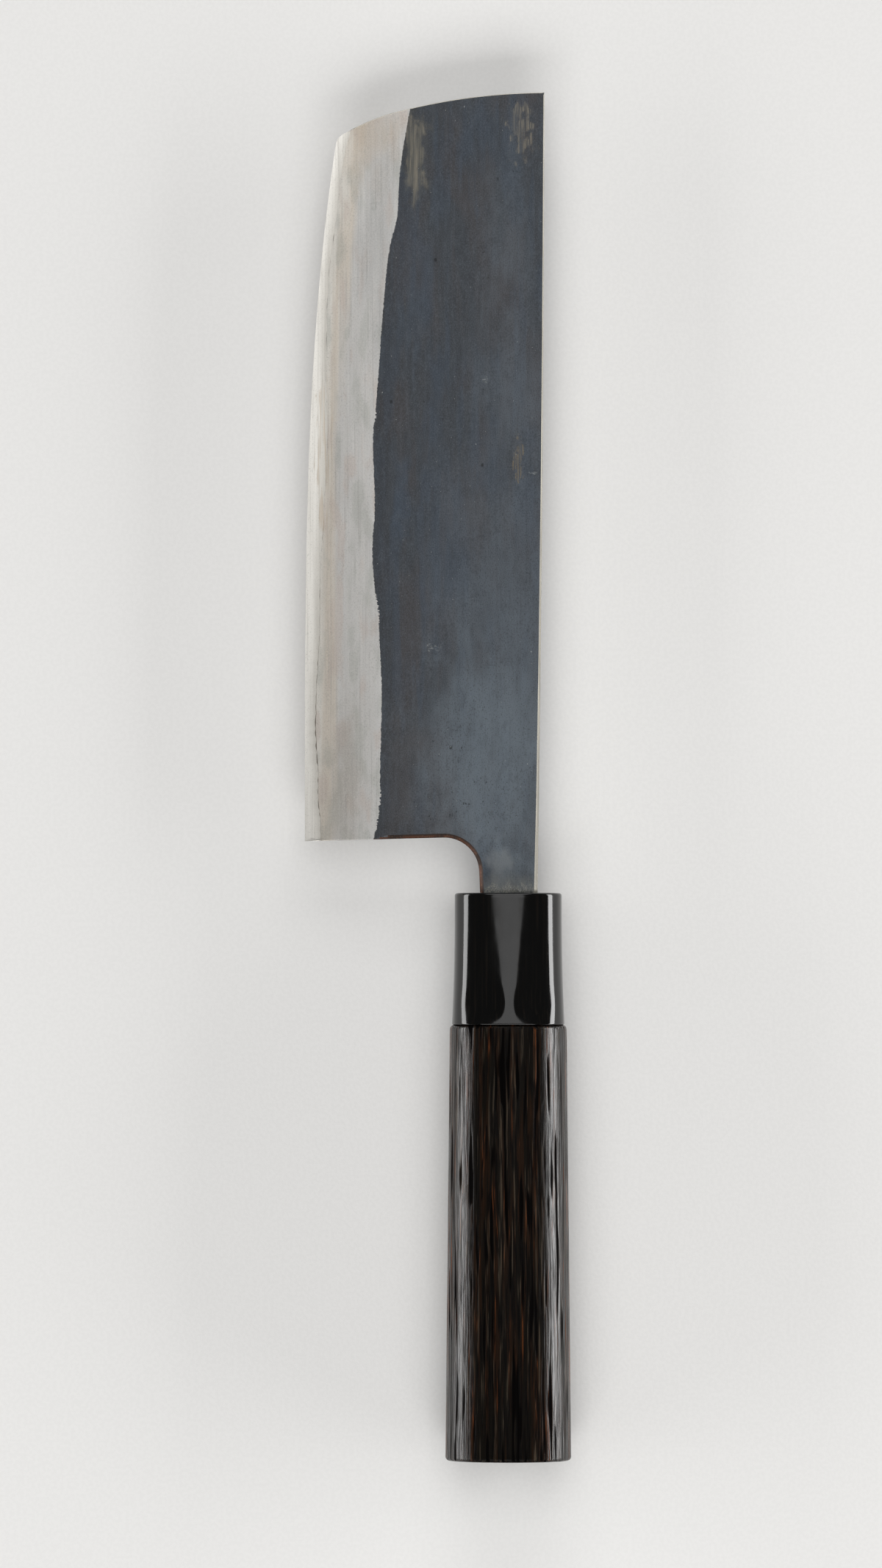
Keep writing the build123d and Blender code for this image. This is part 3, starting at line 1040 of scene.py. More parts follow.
@dataclass
class Blade:
    """The three-layer blade: hard core between two forged iron layers. All sizes are in mm."""

    neck_length: float = 11.4
    nose_corner_set_back: float = 10.0
    nose_corner_radius: float = 3.0
    nose_break_set_back: float = 4.3
    nose_break_rise: float = 12.8
    edge_drop: float = 7.0
    belly_power: float = 3.4
    spine_rise_at_shoulder: float = 6.4
    spine_rise_at_tip: float = 8.0
    spine_bow: float = 0.3
    heel_rake: float = 1.0
    neck_depth_at_heel: float = 6.7
    neck_depth_at_mouth: float = 6.2
    heel_fillet_radius: float = 7.7
    spine_thickness_at_mouth: float = 4.2
    spine_thickness_at_tip: float = 1.9
    bevel_top_thickness_at_heel: float = 3.1
    bevel_top_depth_at_heel: float = 29.3
    core_share: float = 0.34
    least_core_share: float = 0.9
    edge_land: float = 0.1
    bevel_fullness: float = 0.45
    shoulder_seat_depth: float = 4.2
    tang_width: float = 9.6
    tang_end_width: float = 5.2
    tang_thickness: float = 3.5
    tang_end_thickness: float = 2.6
    neck_clearance: float = 0.12
    tang_rise_length: float = 0.36

    # Rounded and chamfered rims. The spine's reach goes with shares of the way to the nose
    spine_reach_shares: tuple[float, ...] = (0.0, 0.12, 0.5, 1.0)
    spine_reaches: tuple[float, ...] = (0.8, 0.6, 0.36, 0.22)
    spine_steepness: float = 0.15
    spine_slant: float = 0.85
    spine_roll: float = 0.25
    nose_round: float = 0.12
    heel_chamfer: float = 0.85
    scale_end_y: float = 29.5
    chamfer_fade: float = 4.0
    least_chamfer_share: float = 0.08

    # Hand-made unevenness: how high, and how long its swells are
    hammer_marks: tuple[tuple[float, float, float], ...] = ((0.035, 16.0, 5.5), (0.012, 5.0, 6.5))
    hammer_fade: float = 3.0
    bevel_wander: float = 0.04
    bevel_wander_length: float = 4.0
    joint_wander: float = 0.22
    joint_wander_length: float = 5.0
    joint_jag: float = 0.08
    joint_jag_at_heel: float = 0.14
    joint_jag_length: float = 0.9
    joint_jag_grows_from: float = 60.0
    joint_jag_grows_over: float = 30.0

    # Mesh: sizes of its steps, and rows of points that hold the rims' shape
    mesh_step: float = 0.62
    core_step_share: float = 0.9
    joint_step: float = 0.4
    joint_end_gap: float = 0.3
    tang_step: float = 3.0
    honeycomb_share: float = 0.866
    scatter_share: float = 0.12
    loop_gap_share: float = 0.6
    point_gap_share: float = 0.45
    row_margin: float = 0.04
    strip_margin: float = 0.25
    spine_row_shares: tuple[float, ...] = (0.3, 0.65, 1.0)
    row_past_spine: float = 0.25
    nose_rows: tuple[float, ...] = (0.06, 0.14, 0.34)
    heel_rows: tuple[float, ...] = (0.1, 0.4, 0.85, 1.15)
    touching: float = 1e-4
    near_line: float = 1e-3
    near_row: float = 0.01
    crease_degrees: float = 32.0

    # Height of the bevel over the edge, read off the photograph along the blade
    bevel_heights: tuple[tuple[float, float], ...] = (
        (11.0, 15.0), (14.5, 15.7), (20.0, 16.4), (30.0, 16.7), (46.0, 16.9), (56.0, 16.4), (61.0, 16.1),
        (66.0, 15.4), (75.0, 14.6), (85.0, 14.9), (92.0, 14.5), (101.0, 14.05), (109.0, 14.4), (129.0, 14.6),
        (143.0, 14.9), (149.0, 15.7), (158.0, 15.1), (173.0, 15.2),
    )
    # Height of the line where the core comes out, over the edge
    joint_heights: tuple[tuple[float, float], ...] = (
        (11.0, 3.6), (19.0, 3.1), (27.0, 2.8), (43.0, 2.4), (54.0, 3.0), (75.0, 3.3), (88.0, 3.8),
        (100.0, 3.9), (118.0, 2.8), (134.0, 2.0), (152.0, 2.3), (162.0, 2.2), (169.0, 2.9),
    )

    def __post_init__(self) -> None:
        """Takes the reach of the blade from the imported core."""
        low, high = node_box("core_steel")
        self.nose_x, self.heel_depth, self.tang_end_x = high.x, high.y, low.x
        self.edge_end_x = self.nose_x - self.nose_corner_set_back
        self.shoulder_x = -self.shoulder_seat_depth
        corners = np.array(
            [
                [1.0, 0.0, -self.spine_rise_at_shoulder],
                [1.0, self.nose_x, -self.spine_rise_at_tip],
                [1.0, self.neck_length, self.bevel_top_depth_at_heel],
            ]
        )
        spine = (self.spine_thickness_at_mouth, self.spine_thickness_at_tip)
        thickness = np.array([*spine, self.bevel_top_thickness_at_heel])
        self.face_plane = np.linalg.solve(corners, thickness / 2)
        self.loop, self.rims = self.outline()

    def edge_y(self, x: np.ndarray) -> np.ndarray:
        """Depth of the cutting edge below the handle's axis, at places along the knife."""
        share = np.clip((x - self.neck_length) / (self.edge_end_x - self.neck_length), 0, None)
        return self.heel_depth - self.edge_drop * share**self.belly_power

    def spine_y(self, x: np.ndarray) -> np.ndarray:
        """Place of the gently bowed spine across the knife, at places along it."""
        share = (x - self.shoulder_x) / (self.nose_x - self.shoulder_x)
        rise = self.spine_rise_at_shoulder + (self.spine_rise_at_tip - self.spine_rise_at_shoulder) * share
        return -(rise + 4 * self.spine_bow * share * (1 - share))

    def bevel_height(self, x: np.ndarray) -> np.ndarray:
        """Height of the bevel's top over the edge, with the hand's small wandering."""
        x = np.asarray(x, float)
        wander = self.bevel_wander * wave(x, 0 * x, self.bevel_wander_length, seed=1.5)
        return along_curve(x, self.bevel_heights) + wander

    def joint_y(self, x: np.ndarray) -> np.ndarray:
        """Place across the knife of the line where the core comes out, more jagged near the heel."""
        x = np.asarray(x, float)
        to_heel = np.clip((self.joint_jag_grows_from - x) / self.joint_jag_grows_over, 0, 1)
        jagged = self.joint_jag + self.joint_jag_at_heel * to_heel
        wander = self.joint_wander * wave(x, 0 * x, self.joint_wander_length, seed=2.5)
        wander = wander + jagged * wave(x, 0 * x, self.joint_jag_length, seed=3.5)
        return self.edge_y(x) - along_curve(x, self.joint_heights) - wander

    def face_z(self, x: np.ndarray, y: np.ndarray) -> np.ndarray:
        """Height of the forged face over the middle of the steel."""
        a, b, c = self.face_plane
        return a + b * x + c * y

    def bevel_z(self, x: np.ndarray, y: np.ndarray) -> np.ndarray:
        """Height of the convex bevel over the middle of the steel."""
        edge, height = self.edge_y(x), self.bevel_height(x)
        share = np.clip((edge - y) / height, 0, 1)
        top = self.face_z(x, edge - height)
        swell = (1 - self.bevel_fullness) * share + self.bevel_fullness * (1 - (1 - share) ** 2)
        return self.edge_land / 2 + (top - self.edge_land / 2) * swell

    def spine_reach(self, x: np.ndarray) -> np.ndarray:
        """Width of the polished chamfer along the spine, which grows towards the neck."""
        return np.interp(x, np.array(self.spine_reach_shares) * self.nose_x, self.spine_reaches)

    def heel_chamfer_at(self, y: np.ndarray) -> np.ndarray:
        """Width of the heel's chamfer at places across the knife, nearly none on the bevel."""
        share = (self.scale_end_y - y) / self.chamfer_fade
        return self.heel_chamfer * np.clip(share, self.least_chamfer_share, 1)

    def tang_half(self, x: np.ndarray) -> np.ndarray:
        """Half the tang's thickness, which starts just outside the ferrule's mouth."""
        share = np.clip(x / self.tang_end_x, 0, 1)
        half = (self.tang_thickness + (self.tang_end_thickness - self.tang_thickness) * share) / 2
        thick = self.spine_thickness_at_mouth
        return half + thick * np.clip((x - self.neck_clearance) / self.tang_rise_length, 0, None)

    def outline(self) -> tuple[np.ndarray, list[Rim]]:
        """Walks round the steel from the spine at the shoulder, by way of the nose and the heel.

        Returns:
            Points in mm, and the rim that starts at each.
        """
        step = self.mesh_step
        runs: list[tuple[Rim, list[tuple[float, float]]]] = []

        xs = np.linspace(self.shoulder_x, self.nose_x, round((self.nose_x - self.shoulder_x) / step))
        runs.append((Rim.SPINE, list(zip(xs, self.spine_y(xs)))[:-1]))

        corner = Vector((self.edge_end_x, float(self.edge_y(self.edge_end_x))))
        tip = Vector((self.nose_x, -self.spine_rise_at_tip))
        nose_break = Vector((self.nose_x - self.nose_break_set_back, corner.y - self.nose_break_rise))
        upper, heading = self.tangent_arc(tip, nose_break, Vector((0, 1)))
        lower, heading = self.tangent_arc(nose_break, corner, heading)
        edge_ahead = Vector((corner.x - step, float(self.edge_y(corner.x - step))))
        turned = rounded_corner(corner - heading, corner, edge_ahead, self.nose_corner_radius, step / 2)
        cut = (turned[0] - corner).length
        lower = [p for p in lower if (Vector(p) - corner).length > cut + step / 3]
        runs.append((Rim.NOSE, upper + lower))

        xs = np.linspace(turned[-1].x, self.neck_length, round((turned[-1].x - self.neck_length) / step))
        edge = list(zip(xs, self.edge_y(xs)))
        runs.append((Rim.EDGE, [tuple(p) for p in turned[:-1]] + edge[:-1]))

        heel = Vector((self.neck_length, self.heel_depth))
        root = Vector((self.neck_length + self.heel_rake, self.neck_depth_at_heel))
        mouth = Vector((0, self.neck_depth_at_mouth))
        neck_end = mouth + (mouth - root) * (self.shoulder_seat_depth / root.x)
        fillet = rounded_corner(heel, root, neck_end, self.heel_fillet_radius, step)
        down = self.straight(heel, fillet[0], step)
        neck = self.straight(fillet[-1], neck_end, step)
        runs.append((Rim.HEEL, down + [tuple(p) for p in fillet[:-1]] + neck))

        half, end_half = self.tang_width / 2, self.tang_end_width / 2
        corners = [neck_end, Vector((self.shoulder_x, half)), Vector((self.tang_end_x, end_half))]
        corners += [Vector((self.tang_end_x, -end_half)), Vector((self.shoulder_x, -half))]
        corners.append(Vector((self.shoulder_x, -self.spine_rise_at_shoulder)))
        tang = [p for a, b in zip(corners, corners[1:]) for p in self.straight(a, b, self.tang_step)]
        runs.append((Rim.TANG, tang))

        loop = [point for rim, points in runs for point in points]
        rims = [rim for rim, points in runs for _ in points]
        return self.with_joint_ends(loop, rims)

    @staticmethod
    def straight(start: Vector, end: Vector, step: float) -> list[tuple[float, float]]:
        """Divides a straight run into steps, without its last point."""
        count = max(1, math.ceil((end - start).length / step))
        return [tuple(start.lerp(end, k / count)) for k in range(count)]

    def tangent_arc(self, start: Vector, end: Vector, heading: Vector) -> tuple[list, Vector]:
        """Draws an arc that leaves a point in a given direction.

        Args:
            start: First point.
            end: Last point.
            heading: Direction at the start, of length 1.

        Returns:
            Points without the last, and the direction at the end.
        """
        chord = end - start
        half = math.atan2(heading.x * chord.y - heading.y * chord.x, heading.dot(chord))
        radius = chord.length / (2 * math.sin(abs(half)))
        side = math.copysign(1, half)
        centre = start + Vector((-heading.y, heading.x)) * radius * side
        count = math.ceil(2 * abs(half) * radius / self.mesh_step)
        points = []
        for k in range(count):
            c, s = math.cos(2 * half * k / count), math.sin(2 * half * k / count)
            arm = start - centre
            points.append((centre.x + arm.x * c - arm.y * s, centre.y + arm.x * s + arm.y * c))
        c, s = math.cos(2 * half), math.sin(2 * half)
        return points, Vector((heading.x * c - heading.y * s, heading.x * s + heading.y * c))

    def with_joint_ends(
        self, loop: list[tuple[float, float]], rims: list[Rim]
    ) -> tuple[np.ndarray, list[Rim]]:
        """Adds the two points of the outline where the joint line ends.

        Args:
            loop: Points of the outline.
            rims: The rim that starts at each.

        Returns:
            Both, with the ends in place. Their places in the list are kept in joint_ends.
        """
        points = np.array(loop)
        over = points[:, 1] - self.joint_y(points[:, 0])
        found, kept, self.joint_ends = [], [], []
        for k, (point, rim) in enumerate(zip(points, rims)):
            found.append(point)
            kept.append(rim)
            after = (k + 1) % len(points)
            if (over[k] < 0) != (over[after] < 0):
                share = over[k] / (over[k] - over[after])
                found.append(point + (points[after] - point) * share)
                kept.append(rim)
                self.joint_ends.append(len(found) - 1)
        return np.array(found), kept

    def joint_points(self) -> np.ndarray:
        """Points of the joint line between its ends, from the nose to the heel."""
        nose, heel = (self.loop[k] for k in self.joint_ends)
        xs = np.arange(nose[0] - self.joint_step, heel[0] + self.joint_end_gap, -self.joint_step)
        return np.column_stack([xs, self.joint_y(xs)])

    def run_points(self, *rims: Rim) -> np.ndarray:
        """Points of the outline's stretches with these finishes, with the next one at the end."""
        at = [k for k, rim in enumerate(self.rims) if rim in rims]
        return np.vstack([self.loop[at], self.loop[(at[-1] + 1) % len(self.loop)]])

    def rows_beside(self, run: np.ndarray, depths: tuple[float | np.ndarray, ...]) -> list[np.ndarray]:
        """Draws rows beside a stretch of the outline, inside the steel, where its rim is rounded.

        Args:
            run: Points of the stretch.
            depths: How far inside each row lies, in mm.

        Returns:
            The rows.
        """
        along = np.gradient(run, axis=0)
        inward = np.column_stack([-along[:, 1], along[:, 0]])
        inward /= np.linalg.norm(inward, axis=1)[:, None]
        return [run + inward * np.reshape(depth, (-1, 1)) for depth in depths]

    def triangles(
        self, loop: np.ndarray, lines: list[np.ndarray], scattered: np.ndarray, margin: float
    ) -> tuple[np.ndarray, list[tuple[int, ...]]]:
        """Fills an outline with triangles that follow the given lines.

        Args:
            loop: The outline.
            lines: Lines that triangles may not cross.
            scattered: Points to use inside.
            margin: Lines keep this far from the outline, in mm.

        Returns:
            Points, with the outline's own first, and triangles that turn left.
        """
        closed = np.vstack([loop, loop[:1]])
        points, edges = [loop], []
        count = len(loop)
        for line in lines:
            free = inside(line, loop) & (far_from(line, closed) > margin)
            index = np.full(len(line), -1)
            index[free] = count + np.arange(free.sum())
            points.append(line[free])
            count += int(free.sum())
            edges += [(int(a), int(b)) for a, b in zip(index, index[1:]) if a >= 0 and b >= 0]
        if len(scattered):
            taken = np.vstack([*points[1:], loop]) if lines else loop
            far = far_from(scattered, closed) > self.mesh_step * self.loop_gap_share
            scattered = scattered[inside(scattered, loop) & far]
            points.append(scattered[clear_of(scattered, taken, self.mesh_step * self.point_gap_share)])
        flat = [Vector(p) for p in np.vstack(points)]
        found = delaunay_2d_cdt(flat, edges, [list(range(len(loop)))], 1, 1e-5)
        xy = np.array([tuple(p) for p in found[0]])
        order = np.full(len(xy), -1)
        first = {}
        for new, olds in enumerate(found[3]):
            for old in olds:
                first[old] = new
        for place in range(len(loop)):
            order[first[place]] = place
        rest = [k for k in range(len(xy)) if order[k] < 0]
        order[rest] = len(loop) + np.arange(len(rest))
        sorted_xy = np.empty_like(xy)
        sorted_xy[order] = xy
        faces = [tuple(int(order[v]) for v in face) for face in found[2]]
        return sorted_xy, faces

    def grid(self, step: float, seed: int) -> np.ndarray:
        """Scatters points over the blade on a loose honeycomb.

        Args:
            step: Distance between neighbours, in mm.
            seed: Picks one scatter out of many.

        Returns:
            The points.
        """
        rows = np.arange(-self.spine_rise_at_tip - 1, self.heel_depth, step * self.honeycomb_share)
        xs = np.arange(-1.0, self.nose_x, step)
        x, y = np.meshgrid(xs, rows)
        x += (np.arange(len(rows)) % 2 * step / 2)[:, None]
        places = np.column_stack([x.ravel(), y.ravel()])
        scatter = self.scatter_share * step
        return places + np.random.default_rng(seed).uniform(-scatter, scatter, places.shape)

    def solid(
        self, loop: np.ndarray, rims: list[Rim], top: tuple, low: tuple, zs: tuple[np.ndarray, np.ndarray]
    ) -> tuple[np.ndarray, list, list]:
        """Closes a layer from its top, its underside and the walls between them.

        Args:
            loop: The layer's outline.
            rims: The rim that starts at each of its points.
            top: Points and triangles of the top.
            low: Points and triangles of the underside.
            zs: Heights of both.

        Returns:
            Points, faces with the top's first, and for each face its rim, or None on the top.
        """
        top_xy, top_faces = top
        low_xy, low_faces = low
        points = np.vstack([np.column_stack([top_xy, zs[0]]), np.column_stack([low_xy, zs[1]])])
        shift = len(top_xy)
        merged = {}
        for k in range(len(loop)):
            if abs(zs[0][k] - zs[1][k]) < self.touching:
                merged[shift + k] = k
        under = [tuple(merged.get(shift + v, shift + v) for v in reversed(face)) for face in low_faces]
        # Where a layer runs out to nothing, a triangle of its top can lie on one of its underside
        doubled = {frozenset(face) for face in top_faces} & {frozenset(face) for face in under}
        faces = [face for face in top_faces if frozenset(face) not in doubled]
        kinds: list[Rim | None] = [None] * len(faces)
        faces += [face for face in under if frozenset(face) not in doubled]
        kinds += [Rim.UNDER] * (len(faces) - len(kinds))
        for k, rim in enumerate(rims):
            after = (k + 1) % len(loop)
            ring = [k, merged.get(shift + k, shift + k), merged.get(shift + after, shift + after), after]
            corners = tuple(dict.fromkeys(ring))
            if len(corners) > 2:
                faces.append(corners)
                kinds.append(rim)
        return points, faces, kinds

    def top_surface(self, xy: np.ndarray) -> tuple[np.ndarray, dict[str, np.ndarray]]:
        """Shapes the layer's outer face: forged flat, convex bevel and rounded rims.

        Args:
            xy: Places on the blade.

        Returns:
            Heights over the middle of the steel, and the measures that the finishes read.
        """
        x, y = xy.T
        over_edge, height = self.edge_y(x) - y, self.bevel_height(x)
        above = over_edge - height
        hammered = sum(height * wave(x, y, length, seed) for height, length, seed in self.hammer_marks)
        face = self.face_z(x, y) + hammered * np.clip(above / self.hammer_fade, 0, 1)
        z = np.where(above > 0, face, self.bevel_z(x, y))

        spine_gap = np.clip(y - self.spine_y(x), 0, None)
        heel_gap = far_from(xy, self.run_points(Rim.HEEL))
        nose_gap = far_from(xy, self.run_points(Rim.NOSE))
        reach = self.spine_reach(x)
        cut = np.clip(1 - spine_gap / reach, 0, 1)
        z = z - reach * self.spine_steepness * (self.spine_slant * cut + self.spine_roll * cut**2)
        z = z - self.round_drop(nose_gap, self.nose_round)
        z = z - np.clip(self.heel_chamfer_at(y) - heel_gap, 0, None)
        z = np.minimum(z, self.tang_half(x))
        core = self.core_share * self.face_z(x, y)
        z = np.maximum(z, np.minimum(core, self.bevel_z(x, y)) * self.least_core_share)
        measures = {
            "above_bevel": above,
            "bevel_share": over_edge / height,
            "above_joint": self.joint_y(x) - y,
            "spine_gap": spine_gap,
            "heel_gap": heel_gap,
            "nose_gap": nose_gap,
        }
        return z, measures

    @staticmethod
    def round_drop(gap: np.ndarray, radius: float) -> np.ndarray:
        """How far a rounded rim lies below the face, at distances from the rim."""
        short = np.clip(radius - gap, 0, radius)
        return radius - np.sqrt(radius**2 - short**2)

    def cladding(self) -> tuple[Skin, Skin]:
        """Builds the two forged layers.

        Returns:
            The left one, which the camera sees, and the right one, its mirror image.
        """
        nose_end, heel_end = self.joint_ends
        turn = list(range(heel_end, len(self.loop))) + list(range(nose_end + 1))
        joint = self.joint_points()
        loop = np.vstack([self.loop[turn], joint])
        rims = [self.rims[k] for k in turn[:-1]] + [Rim.JOINT] * (len(joint) + 1)

        spine = self.run_points(Rim.SPINE)
        reach = self.spine_reach(spine[:, 0])
        depths = (*(reach * share for share in self.spine_row_shares), reach + self.row_past_spine)
        spine_rows = self.rows_beside(spine, depths)
        nose_rows = self.rows_beside(self.run_points(Rim.NOSE), self.nose_rows)
        heel_rows = self.rows_beside(self.run_points(Rim.HEEL), self.heel_rows)
        xs = np.arange(self.neck_length - 1, self.nose_x, self.mesh_step)
        ridge = np.column_stack([xs, self.edge_y(xs) - self.bevel_height(xs)])
        lines = [*spine_rows, *nose_rows, *heel_rows, ridge]
        top = self.triangles(loop, lines, self.grid(self.mesh_step, seed=11), self.row_margin)
        low = self.triangles(loop, [], np.empty((0, 2)), 0.0)

        z, measures = self.top_surface(top[0])
        low_z = np.minimum(self.core_share * self.face_z(*low[0].T), z[: len(loop)])
        on_joint = np.array([rim is Rim.JOINT for rim in rims])
        low_z[on_joint] = z[: len(loop)][on_joint]
        points, faces, kinds = self.solid(loop, rims, top, low, (z, low_z))
        finishes = self.cladding_finishes(points, faces, kinds, measures)
        padded = {name: np.concatenate([v, v[: len(loop)]]) for name, v in measures.items()}
        kept = {name: padded[name] for name in ("above_bevel", "bevel_share", "above_joint", "heel_gap")}
        on_reach = np.abs(measures["spine_gap"] - self.spine_reach(top[0][:, 0])) < self.near_row
        creases = set(np.flatnonzero(on_reach).tolist())
        left = Skin(points, faces, finishes, kept, creases)
        flipped = [tuple(reversed(face)) for face in faces]
        right = Skin(points * np.array([1.0, 1.0, -1.0]), flipped, finishes, kept, creases)
        return left, right

    def cladding_finishes(
        self, points: np.ndarray, faces: list, kinds: list, measures: dict[str, np.ndarray]
    ) -> list[int]:
        """Chooses a finish for each face of a forged layer.

        Args:
            points: The layer's points.
            faces: Its faces, with the top's first.
            kinds: Their rims.
            measures: Measures of the top's points.

        Returns:
            0 for forged iron, 1 for polished rims, 2 for rusted rims.
        """
        by_rim = {Rim.SPINE: 1, Rim.NOSE: 1, Rim.EDGE: 1, Rim.HEEL: 2, Rim.TANG: 2}
        finishes = [by_rim.get(kind, 0) for kind in kinds]
        top_count = kinds.count(None)
        corners = np.array(faces[:top_count])
        reach = self.spine_reach(points[corners, 0].mean(1))
        spine = measures["spine_gap"][corners].mean(1) < reach
        nose = measures["nose_gap"][corners].mean(1) < self.nose_round
        middle_y = points[corners, 1].mean(1)
        heel = measures["heel_gap"][corners].mean(1) < self.heel_chamfer_at(middle_y)
        on_bevel = middle_y > self.scale_end_y
        for k in range(top_count):
            if heel[k]:
                finishes[k] = 0 if on_bevel[k] else 2
            elif spine[k] or nose[k]:
                finishes[k] = 1
        return finishes

    def core(self) -> Skin:
        """Builds the hard core, bare along the edge.

        Returns:
            The core's skin.
        """
        nose_end, heel_end = self.joint_ends
        joint = self.joint_points()
        loop, rims = self.loop, self.rims
        line = np.vstack([loop[nose_end], joint, loop[heel_end]])
        strip = np.vstack([loop[nose_end : heel_end + 1], joint[::-1]])
        scattered = self.grid(self.mesh_step * self.core_step_share, seed=12)
        far = far_from(scattered, np.vstack([strip, strip[:1]])) > self.strip_margin
        free = inside(scattered, strip) & far
        nose_rows = self.rows_beside(self.run_points(Rim.NOSE), self.nose_rows[:2])
        heel_rows = self.rows_beside(self.run_points(Rim.HEEL), self.heel_rows[:1])
        lines = [joint] + [row[inside(row, strip)] for row in nose_rows + heel_rows]
        top = self.triangles(loop, lines, scattered[free], 0.0)
        z, measures = self.top_surface(top[0])
        hidden = measures["above_joint"] > self.touching
        under = np.minimum(self.core_share * self.face_z(*top[0].T), self.bevel_z(*top[0].T))
        z[hidden] = under[hidden]
        points, faces, kinds = self.solid(loop, rims, top, top, (z, -z))
        by_rim = {Rim.SPINE: 1, Rim.NOSE: 1, Rim.HEEL: 2, Rim.TANG: 2}
        finishes = [by_rim.get(kind, 0) for kind in kinds]
        near = np.abs(measures["above_joint"]) < self.near_line
        creases = set(np.flatnonzero(np.concatenate([near, near])).tolist())
        above = np.concatenate([measures["above_joint"]] * 2)
        log.info("joint line has %d points between %s and %s", len(line), line[0].round(1), line[-1].round(1))
        return Skin(points, faces, finishes, {"above_joint": above}, creases)

    def build(self) -> list[bpy.types.Object]:
        """Makes the three pieces of the blade.

        Returns:
            The core and both claddings.
        """
        iron, spine, rust = ForgedIron().make(), GroundSpine().make(), RustedRim().make()
        left, right = self.cladding()
        steel_rims, iron_rims = [CoreSteel().make(), spine, rust], [iron, spine, rust]
        crease = self.crease_degrees
        return [
            self.core().piece("blade_core", "core_steel", "core_steel", steel_rims, crease),
            left.piece("blade_iron_left", "cladding_left", "forged_iron", iron_rims, crease),
            right.piece("blade_iron_right", "cladding_right", "forged_iron", iron_rims, crease),
        ]


def clear_of(scattered: np.ndarray, taken: np.ndarray, gap: float) -> np.ndarray:
    """Finds scattered points that keep clear of points that are already used.

    Args:
        scattered: Points to choose from.
        taken: Points that are used.
        gap: How clear they have to be, in mm.

    Returns:
        True for each point to keep.
    """
    cells = {}
    for x, y in taken:
        cells.setdefault((int(x // gap), int(y // gap)), []).append((x, y))
    keep = np.ones(len(scattered), bool)
    for k, (x, y) in enumerate(scattered):
        column, row = int(x // gap), int(y // gap)
        near = (p for i in (-1, 0, 1) for j in (-1, 0, 1) for p in cells.get((column + i, row + j), ()))
        keep[k] = all((x - a) ** 2 + (y - b) ** 2 > gap**2 for a, b in near)
    return keep


@dataclass
class Turning:
    """Rings of points round the handle's axis, joined to one skin."""

    segments: int

    def angles(self) -> np.ndarray:
        """Directions of the ring's points, round the axis."""
        return np.linspace(0, 2 * math.pi, self.segments, endpoint=False)

    def oval(self, x: float, half_width: float, half_thickness: float, fullness: float = 2.0) -> np.ndarray:
        """Draws an oval ring.

        Args:
            x: Place along the axis, in mm.
            half_width: Half its size across the knife.
            half_thickness: Half its size through the knife.
            fullness: 2 for a true ellipse, more for a fuller oval.

        Returns:
            Its points.
        """
        a = self.angles()
        c, s = np.cos(a), np.sin(a)
        reach = (abs(c) ** fullness + abs(s) ** fullness) ** (1 / fullness)
        return np.column_stack([np.full_like(a, x), half_width * c / reach, half_thickness * s / reach])

    def box(self, x: float, low_y: float, high_y: float, half_height: float) -> np.ndarray:
        """Draws a four-cornered ring with points in its corners.

        Args:
            x: Place along the axis, in mm.
            low_y: Its lower side across the knife.
            high_y: Its upper side across the knife.
            half_height: Half its size through the knife.

        Returns:
            Its points.
        """
        a = self.angles()
        reach = np.maximum(abs(np.cos(a)), abs(np.sin(a)))
        middle, half = (low_y + high_y) / 2, (high_y - low_y) / 2
        return np.column_stack(
            [np.full_like(a, x), middle + half * np.cos(a) / reach, half_height * np.sin(a) / reach]
        )

    @staticmethod
    def rounded(radius: float, first_degrees: float, count: int) -> list[tuple[float, float]]:
        """Divides a rounded rim into steps.

        Args:
            radius: Radius of the rim, in mm.
            first_degrees: Turn of the first step.
            count: How many steps there are, up to a quarter turn.

        Returns:
            For each, how far it has gone along the first side and how far it still has to go along
            the second.
        """
        turns = np.radians(np.linspace(first_degrees, 90, count))
        return [(radius * (1 - math.cos(turn)), radius * (1 - math.sin(turn))) for turn in turns]

    def join(self, rings: list[np.ndarray]) -> tuple[np.ndarray, list[tuple[int, ...]]]:
        """Joins rings to a closed skin, the last to the first.

        Args:
            rings: Rings from the inside of the bore, over the outside, back to the bore.

        Returns:
            Points and faces that look outwards.
        """
        count, faces = self.segments, []
        for ring in range(len(rings)):
            here, there = ring * count, (ring + 1) % len(rings) * count
            for k in range(count):
                after = (k + 1) % count
                faces.append((here + k, here + after, there + after, there + k))
        return np.vstack(rings), faces


